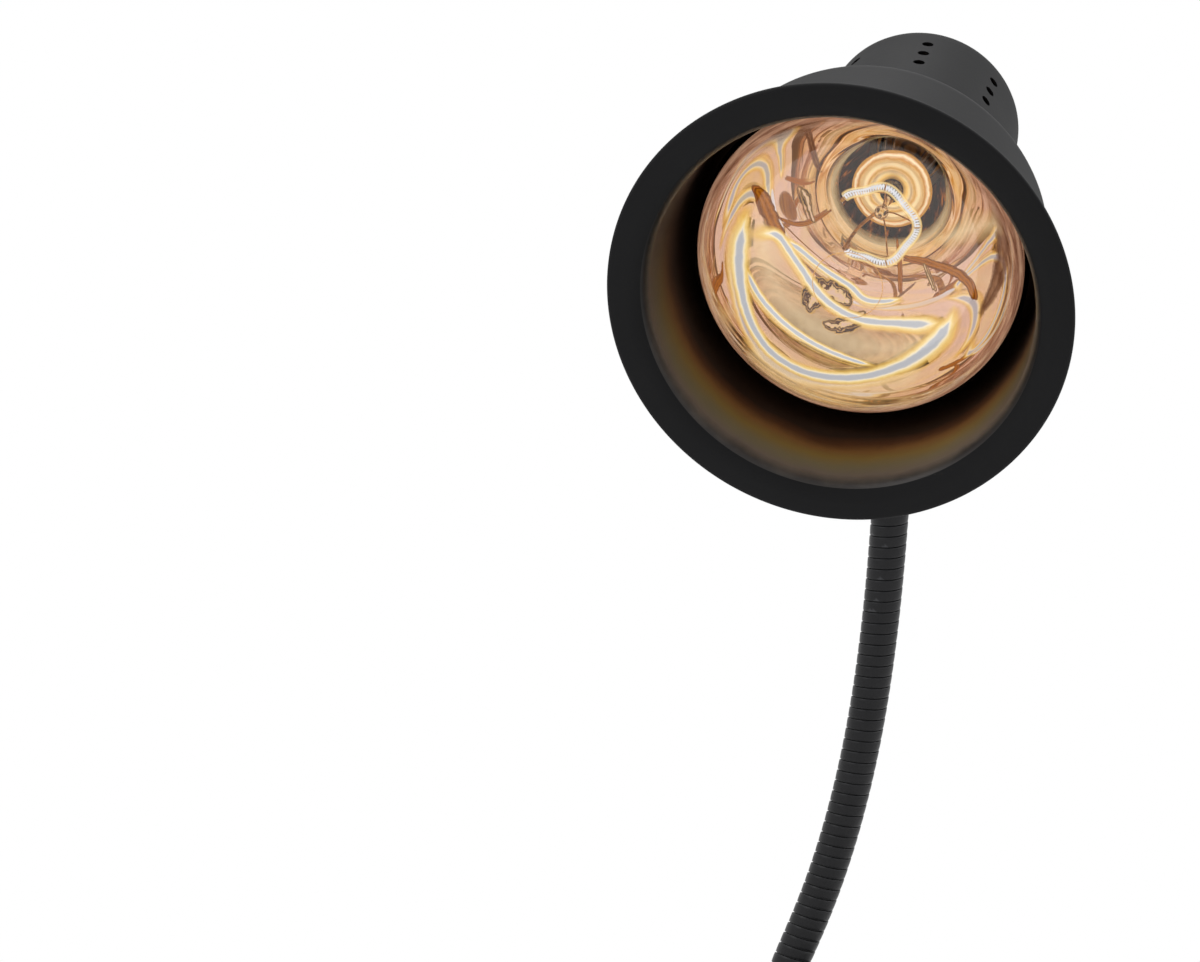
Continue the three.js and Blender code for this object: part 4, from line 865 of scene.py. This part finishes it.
wire, tree = material("nickel_wire")
where = add(tree, "TexCoord").outputs["Object"]
clouds = add(tree, "TexNoise", {"Vector": where, "Scale": 500.0, "Detail": 2.0})
tone = add(tree, "ValToRGB", {"Fac": clouds.outputs["Fac"]},
           stops=[(0.3, linear("8a5a20")), (0.7, linear("d9a856"))])
shader = add(tree, "BsdfPrincipled", {"Base Color": tone.outputs["Color"], "Metallic": 1.0,
                                      "Roughness": 0.3})
add(tree, "OutputMaterial", {"Surface": shader.outputs["BSDF"]})
for i, end in enumerate(LEAD_TURNS):
    beside = (-2.4, 2.4)[i]
    line = smooth([[0, beside, 97.5], [0, beside, 93.5], [0, beside, 89.5],
                   on_ring(end, 12, 77.25), on_ring(end, FILAMENT_RADIUS, 60)], 12)
    lead = swept(f"lead_{i + 1}", in_head(line + [0, 0, BULB_FRONT]), LEAD_RADIUS, 14)
    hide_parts(f"bulb_lead_{i + 1}")
    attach(lead, "bulb")
    give(lead, wire)
for i, turn in enumerate(SUPPORT_TURNS):
    loop = np.radians(np.linspace(90, 400, 26))
    eye = [on_ring(turn, FILAMENT_RADIUS + EYE_RADIUS * np.cos(a),
                   FILAMENT_DEPTH + EYE_RADIUS * np.sin(a)) for a in loop]
    line = np.vstack([smooth([on_ring(turn, 1.4, 74), on_ring(turn, 5.6, 73), eye[0]], 10)[:-1], eye])
    support = swept(f"support_{i + 1}", in_head(line + [0, 0, BULB_FRONT]), SUPPORT_RADIUS, 10)
    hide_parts(f"bulb_support_{i + 1}")
    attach(support, "bulb")
    give(support, wire)

# Filament: tungsten wire coiled 70 times along an open ring, at white heat
FILAMENT_TURNS = 70
FILAMENT_START, FILAMENT_END = -132.5, 141.5
COIL_RADIUS, COIL_WIRE, GLOW_RADIUS = 0.8, 0.3, 2.1
SPAN_SAG = 1.8
hot_tungsten, tree = material("lit_tungsten")
where = add(tree, "TexCoord").outputs["Object"]
glow = add(tree, "TexNoise", {"Vector": where, "Scale": 300.0, "Detail": 1.0})
tone = add(tree, "ValToRGB", {"Fac": glow.outputs["Fac"]},
           stops=[(0.3, linear("ccd8ea")), (0.7, linear("e2ebf8"))])
shader = add(tree, "Emission", {"Color": tone.outputs["Color"], "Strength": 1.1})
add(tree, "OutputMaterial", {"Surface": shader.outputs["Emission"]})
share = np.linspace(0, 1, FILAMENT_TURNS * 14)
turn = FILAMENT_START + (FILAMENT_END - FILAMENT_START) * share
wind = 2 * np.pi * FILAMENT_TURNS * share
held = np.interp(turn, [FILAMENT_START, *SUPPORT_TURNS, FILAMENT_END], range(5))
span = FILAMENT_RADIUS - SPAN_SAG * np.sin(np.pi * held) ** 2
line = on_ring(turn, span + COIL_RADIUS * np.cos(wind),
               FILAMENT_DEPTH + COIL_RADIUS * np.sin(wind))
filament = swept("filament_coil", in_head(line.T + [0, 0, BULB_FRONT]), COIL_WIRE, 8)
give(filament, hot_tungsten)
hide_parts("bulb_filament")
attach(filament, "bulb")

# The light about the coil: a thin shell whose gold and cream show most beside the coil
glare, tree = material("glow_of_the_coil")
facing = add(tree, "LayerWeight", {"Blend": 0.5})
tone = add(tree, "ValToRGB", {"Fac": facing.outputs["Facing"]}, stops=[
    (0.0, linear("fffbe8", 0)), (0.12, linear("fff6d4", 0.12)),
    (0.3, linear("ffeeb4", 0.6)), (0.55, linear("f6cf74", 0.4)),
    (0.85, linear("f0c060", 0))])
clear = add(tree, "BsdfTransparent")
light = add(tree, "Emission", {"Color": tone.outputs["Color"], "Strength": 1.0})
mixed = add(tree, "MixShader", {0: tone.outputs["Alpha"], 1: clear.outputs["BSDF"],
                                2: light.outputs["Emission"]})
add(tree, "OutputMaterial", {"Surface": mixed.outputs["Shader"]})
line = on_ring(turn, span, np.full(len(turn), FILAMENT_DEPTH)).T[5:-5:8]
halo = swept("filament_glow", in_head(line + [0, 0, BULB_FRONT]), GLOW_RADIUS, 24)
give(halo, glare)
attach(halo, "bulb")

# A fine plain ring is etched in the middle of the face, painted gold with a glow for the filament's light
etched, tree = material("etched_glass_ring")
speck = add(tree, "TexNoise", {"Vector": add(tree, "TexCoord").outputs["Object"], "Scale": 2600.0})
dense = add(tree, "MapRange", {"Value": speck.outputs["Fac"], "From Min": 0.35, "From Max": 0.6,
                               "To Min": 0.25, "To Max": 0.7})
shader = add(tree, "BsdfPrincipled", {"Base Color": linear("c89a44"), "Roughness": 0.7,
                                      "Emission Color": linear("d2a24a"),
                                      "Emission Strength": 0.6,
                                      "Alpha": dense.outputs["Result"]})
add(tree, "OutputMaterial", {"Surface": shader.outputs["BSDF"]})
etched_ring = surface("bulb_etched_ring", in_head(revolve([
    [12.8, 1.98], [13.15, 2.02], [13.15, 2.06], [12.8, 2.02]], 160) + [0, 0, BULB_FRONT]))
give(etched_ring, etched)
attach(etched_ring, "bulb")

# The mirrored light of the coil: the bowl spreads it into long bright arcs with gold about them,
# and the stem, leads and supports into brown and amber folds. Each is a film on the mirror
FILM_INSET, FILM_STEP, FILM_THICKNESS = 1.95, 0.07, 0.05


def mirrored(name, stops, unevenness, scale=330.0):
    """A finish whose colour and alpha go by the distance from a film's edge, 0, to its middle, 1,
    made uneven by noise."""
    made, tree = material(name)
    where = add(tree, "TexCoord").outputs["Object"]
    noise = add(tree, "TexNoise", {"Vector": where, "Scale": scale, "Detail": 3.0})
    inwards = add(tree, "Attribute", attribute_name="inwards")
    shift = add(tree, "MapRange", {"Value": noise.outputs["Fac"], "From Min": 0.25, "From Max": 0.75,
                                   "To Min": -unevenness, "To Max": unevenness}, clamp=False)
    place = add(tree, "Math", {0: shift.outputs["Result"], 1: inwards.outputs["Fac"]})
    tone = add(tree, "ValToRGB", {"Fac": place.outputs["Value"]}, stops=stops)
    light = add(tree, "Emission", {"Color": tone.outputs["Color"]})
    clear = add(tree, "BsdfTransparent")
    mixed = add(tree, "MixShader", {0: tone.outputs["Alpha"], 1: clear.outputs["BSDF"],
                                    2: light.outputs["Emission"]})
    add(tree, "OutputMaterial", {"Surface": mixed.outputs["Shader"]})
    return made


def film(name, stops, inset):
    """A film on the bowl along stops of (turn, depth, width): nine points across it, and nine
    back along its other side, one thickness nearer the glass. Attribute inwards runs from 0 to 1 to 0."""
    stops = np.array(stops, float)
    stops[:, 0] = np.unwrap(stops[:, 0], period=360)
    turn, depth, width = smooth(stops, 12).T
    middle = bowl_grid(np.radians(turn), depth, inset)
    beside = bowl_grid(np.radians(turn), depth + 0.1, inset) - middle
    outward = np.cross(np.stack([-np.sin(np.radians(turn)), np.cos(np.radians(turn)),
                                 np.zeros(len(turn))], -1), beside)
    across = np.cross(np.gradient(middle, axis=0), outward)
    across /= np.linalg.norm(across, axis=1, keepdims=True)
    share = np.linspace(-1, 1, 9)
    grid = middle[:, None] + across[:, None] * (share * width[:, None] / 2)[..., None]
    angle = np.arctan2(grid[..., 1], grid[..., 0])
    grid = np.concatenate([bowl_grid(angle, grid[..., 2], inset),
                           bowl_grid(angle, grid[..., 2], inset - FILM_THICKNESS)[:, ::-1]], 1)
    piece = surface(name, in_head(grid + [0, 0, BULB_FRONT]), closed_rows=False, capped=True)
    inwards = 1 - abs(np.concatenate([share, share[::-1]]))
    fade = np.clip(8 * np.minimum(*np.linspace([0, 1], [1, 0], len(grid)).T), 0, 1)
    values = (fade[:, None] * inwards).ravel()
    piece.data.attributes.new("inwards", "FLOAT", "POINT").data.foreach_set(
        "value", values.astype(np.float32))
    return piece


clear_gold = linear("f2c860", 0)
coil_light = mirrored("mirrored_coil", [
    (0.08, clear_gold), (0.3, linear("efc765", 0.36)), (0.5, linear("fce7a2", 0.8)),
    (0.65, linear("fffae0", 1)), (0.73, linear("d2d8df", 1)),
    (0.82, linear("c0c9d6", 1))], 0.05)
gold_light = mirrored("mirrored_gold", [
    (0.05, clear_gold), (0.5, linear("f4dca0", 0.09)), (1.0, linear("f8e6b8", 0.2))], 0.15)
brown_fold = mirrored("mirrored_brown", [
    (0.05, linear("6a4430", 0)), (0.35, linear("744e3a", 0.45)),
    (0.6, linear("5c3a28", 0.6)), (1.0, linear("8a6248", 0.4))], 0.25)
dark_fold = mirrored("mirrored_dark", [
    (0.02, linear("8a5a24", 0)), (0.1, linear("d8ac60", 0.8)),
    (0.2, linear("32180a", 1)), (0.36, linear("4a2810", 1)),
    (0.44, linear("d0a468", 0.95)), (0.52, linear("3e1f0c", 1)),
    (0.66, linear("5a3216", 1)), (0.74, linear("e2c28c", 0.95)),
    (1.0, linear("dcbcaa", 0.95))], 0.3, 420.0)
amber_fold = mirrored("mirrored_amber", [
    (0.05, linear("7a3f0a", 0)), (0.2, linear("6e3a0a", 0.95)),
    (0.6, linear("b4701a", 0.95)), (1.0, linear("8a4e10", 0.95))], 0.2)
# The photograph's frame and the camera that sees it, in pixels and millimetres
PHOTO_SIZE = np.array([1200, 962])
SENSOR_WIDTH, LENS = 36, 91.2
CAMERA_SPOT = np.array([-82.6, -1339.9, 238.4])
CAMERA_TURN = np.radians([94.37, -0.21, 0.02])
camera_axes = np.array(Euler(CAMERA_TURN).to_matrix())
focal = LENS / SENSOR_WIDTH * PHOTO_SIZE[0]
# Upper left and lower right corners of the box about the bulb's outline in the photograph
PHOTO_BULB = np.array([[684.8, 89.1], [1021.2, 413.9]])
# Places along a line of sight that are tried, and the films' usual inset
SIGHT_STEPS = np.arange(1000, 1500, 0.06)[:, None, None]
SIGHT_INSET = 1.9


def seen_at(points):
    """Pixels at which the camera sees points: middle + focal * (x, -y) / -z along its axes."""
    x, y, z = np.moveaxis((points - CAMERA_SPOT) @ camera_axes, -1, 0)
    return PHOTO_SIZE / 2 + focal * np.stack([x, -y], -1) / -z[..., None]


widest = BOWL_SIDE[BOWL_SIDE[:, 1] < 40]
outline = seen_at(in_head(revolve([widest], 120) + [0, 0, BULB_FRONT])).reshape(-1, 2)
HERE_BULB = np.array([outline.min(0), outline.max(0)])


def on_bowl(marks):
    """Marks (x, y, width) on the photograph as (turn, depth, width) on the bowl. Each is moved
    with the box about the bulb, and its line of sight is followed to the last step in the bowl."""
    marks = np.array(marks, float)
    share = (marks[:, :2] - PHOTO_BULB[0]) / np.ptp(PHOTO_BULB, axis=0)
    pixel = HERE_BULB[0] + share * np.ptp(HERE_BULB, axis=0) - PHOTO_SIZE / 2
    aim = np.column_stack([pixel * [1, -1] / focal, -np.ones(len(marks))]) @ camera_axes.T
    line = (CAMERA_SPOT + SIGHT_STEPS * aim - RIM) @ HEAD_FRAME.T - [0, 0, BULB_FRONT]
    room = np.interp(line[..., 2], BOWL_SIDE[:, 1], BOWL_SIDE[:, 0] - SIGHT_INSET, left=0, right=0)
    inside = np.hypot(line[..., 0], line[..., 1]) < room
    last = len(line) - 1 - np.argmax(inside[::-1], axis=0)
    x, y, depth = line[last, np.arange(len(marks))].T
    return np.column_stack([np.degrees(np.arctan2(y, x)), depth, marks[:, 2]])


# Gold light spread along the lower bowl and round its end, as (turn, depth, width)
GOLD_BANDS = [
    [(-170, 58, 12), (172, 58, 22), (150, 56, 26), (120, 55, 28), (90, 54, 26), (60, 53, 16)],
    [(-20, 91, 14), (90, 93, 16), (180, 92, 14), (270, 93, 12), (375, 94.5, 13)]]
# Marks on the photograph along the middle of each reflection, with its width in mm
MARKED = [
    (gold_light, [(740, 330, 22), (775, 370, 30), (820, 385, 30), (869, 382, 28), (920, 362, 22)]),
    (brown_fold, [(700, 290, 3), (690, 250, 5), (698, 205, 6), (718, 165, 7), (745, 130, 5),
                  (758, 124, 2)]),
    (brown_fold, [(946, 134, 2), (965, 150, 8), (985, 190, 10), (992, 235, 10), (985, 280, 7),
                  (968, 315, 3)]),
    (brown_fold, [(757, 134, 2), (775, 126, 6), (795, 122, 3), (803, 145, 3), (812, 170, 2)]),
    (dark_fold, [(800, 312, 3), (803, 298, 11), (815, 290, 13), (832, 296, 11), (842, 304, 3)]),
    (dark_fold, [(812, 322, 2), (828, 325, 7), (845, 320, 7), (855, 310, 2)]),
    (gold_light, [(925, 238, 5), (945, 233, 12), (965, 226, 14), (985, 222, 12), (992, 236, 5)]),
    (amber_fold, [(893, 255, 1.6), (915, 260, 3.2), (940, 268, 3.8), (958, 280, 3.8),
                  (966, 300, 2.6)]),
    (dark_fold, [(915, 262, 1.2), (920, 275, 1.8), (926, 290, 1.2)]),
    (amber_fold, [(888, 238, 1), (890, 262, 1.6), (891, 292, 1.4)]),
    (amber_fold, [(768, 215, 1), (785, 222, 1.8), (800, 220, 1.8), (820, 208, 1)]),
    (dark_fold, [(790, 185, 2), (795, 195, 5), (799, 210, 3), (804, 222, 1.2)]),
    (amber_fold, [(744, 184, 2), (752, 195, 5.5), (760, 215, 6.5), (768, 232, 5.5), (772, 238, 1.6)]),
    (coil_light, [(733, 262, 3.5), (745, 290, 5), (768, 318, 5), (800, 342, 4.6), (835, 358, 4),
                  (868, 367, 2.4)]),
    (coil_light, [(770, 234, 4), (790, 250, 4.6), (812, 268, 4.6), (838, 285, 5), (855, 300, 5),
                  (875, 302, 4.4), (896, 298, 2.4)]),
    (coil_light, [(738, 232, 12), (762, 232, 6.6), (774, 244, 6), (790, 268, 6.4), (805, 290, 6.8),
                  (822, 306, 6.2), (850, 320, 6.4), (885, 324, 7.6), (915, 325, 10), (940, 322, 7)]),
    (coil_light, [(741, 198, 5), (731, 225, 11), (727, 255, 12.5), (730, 290, 9.6), (741, 325, 8),
                  (760, 352, 8), (790, 371, 8), (830, 379, 8.4), (875, 373, 9), (905, 360, 11.4),
                  (928, 342, 13), (942, 322, 10), (948, 302, 4)])]
reflections = [(gold_light, band) for band in GOLD_BANDS]
reflections += [(finish, on_bowl(marks)) for finish, marks in MARKED]
for i, (finish, stops) in enumerate(reflections):
    piece = film(f"bulb_reflection_{i + 1:02d}", stops, FILM_INSET + FILM_STEP * i)
    give(piece, finish)
    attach(piece, "bulb")


# Studio: a pale round floor, white surroundings for the eye and for reflections, three soft
# boxes and the camera of the photograph.

floor = surface("studio_floor", revolve([[0, -0.02], [900, -0.02], [900, -4], [0, -4]], 96),
                closed_columns=False)
floor_paint, tree = material("pale_studio_floor")
dust = add(tree, "TexNoise", {"Vector": add(tree, "TexCoord").outputs["Object"], "Scale": 60.0})
tone = add(tree, "ValToRGB", {"Fac": dust.outputs["Fac"]},
           stops=[(0.3, linear("f8f8f8")), (0.7, linear("fcfcfc"))])
shader = add(tree, "BsdfPrincipled", {"Base Color": tone.outputs["Color"], "Roughness": 0.6})
add(tree, "OutputMaterial", {"Surface": shader.outputs["BSDF"]})
give(floor, floor_paint)

world = bpy.data.worlds.new("studio")
bpy.context.scene.world = world
world.use_nodes = True
tree = world.node_tree
tree.nodes.clear()
rays = add(tree, "LightPath")
seen = add(tree, "Math", {0: rays.outputs["Is Camera Ray"], 1: rays.outputs["Is Glossy Ray"]},
           operation="MAXIMUM")
seen = add(tree, "Math", {0: seen.outputs["Value"], 1: rays.outputs["Is Transmission Ray"]},
           operation="MAXIMUM")
strength = add(tree, "MapRange", {"Value": seen.outputs["Value"], "To Min": 0.6, "To Max": 1.0})
sky = add(tree, "Background", {"Color": (1, 1, 1, 1), "Strength": strength.outputs["Result"]})
add(tree, "OutputWorld", {"Surface": sky.outputs["Background"]})

for name, place, aim, size, power in (
        ("soft_box_left", (-1.3, -1.1, 1.5), (0, -0.1, 0.35), 1.0, 7),
        ("soft_box_right", (1.4, 0.2, 1.3), (0, -0.1, 0.35), 0.8, 7),
        ("soft_box_above", (0.1, 0.1, 1.9), (0, 0.05, 0), 1.2, 14)):
    light = bpy.data.lights.new(name, "AREA")
    light.energy, light.size = power, size
    lamp = bpy.data.objects.new(name, light)
    bpy.context.scene.collection.objects.link(lamp)
    lamp.location = place
    lamp.rotation_euler = (Vector(aim) - Vector(place)).to_track_quat("-Z", "Y").to_euler()

camera = bpy.data.objects.new("camera", bpy.data.cameras.new("camera"))
bpy.context.scene.collection.objects.link(camera)
camera.data.sensor_width = SENSOR_WIDTH
camera.data.lens = LENS
camera.data.clip_start = 0.01
camera.location = CAMERA_SPOT / 1000
camera.rotation_euler = CAMERA_TURN
bpy.context.scene.camera = camera
bpy.context.scene.view_settings.view_transform = "Standard"
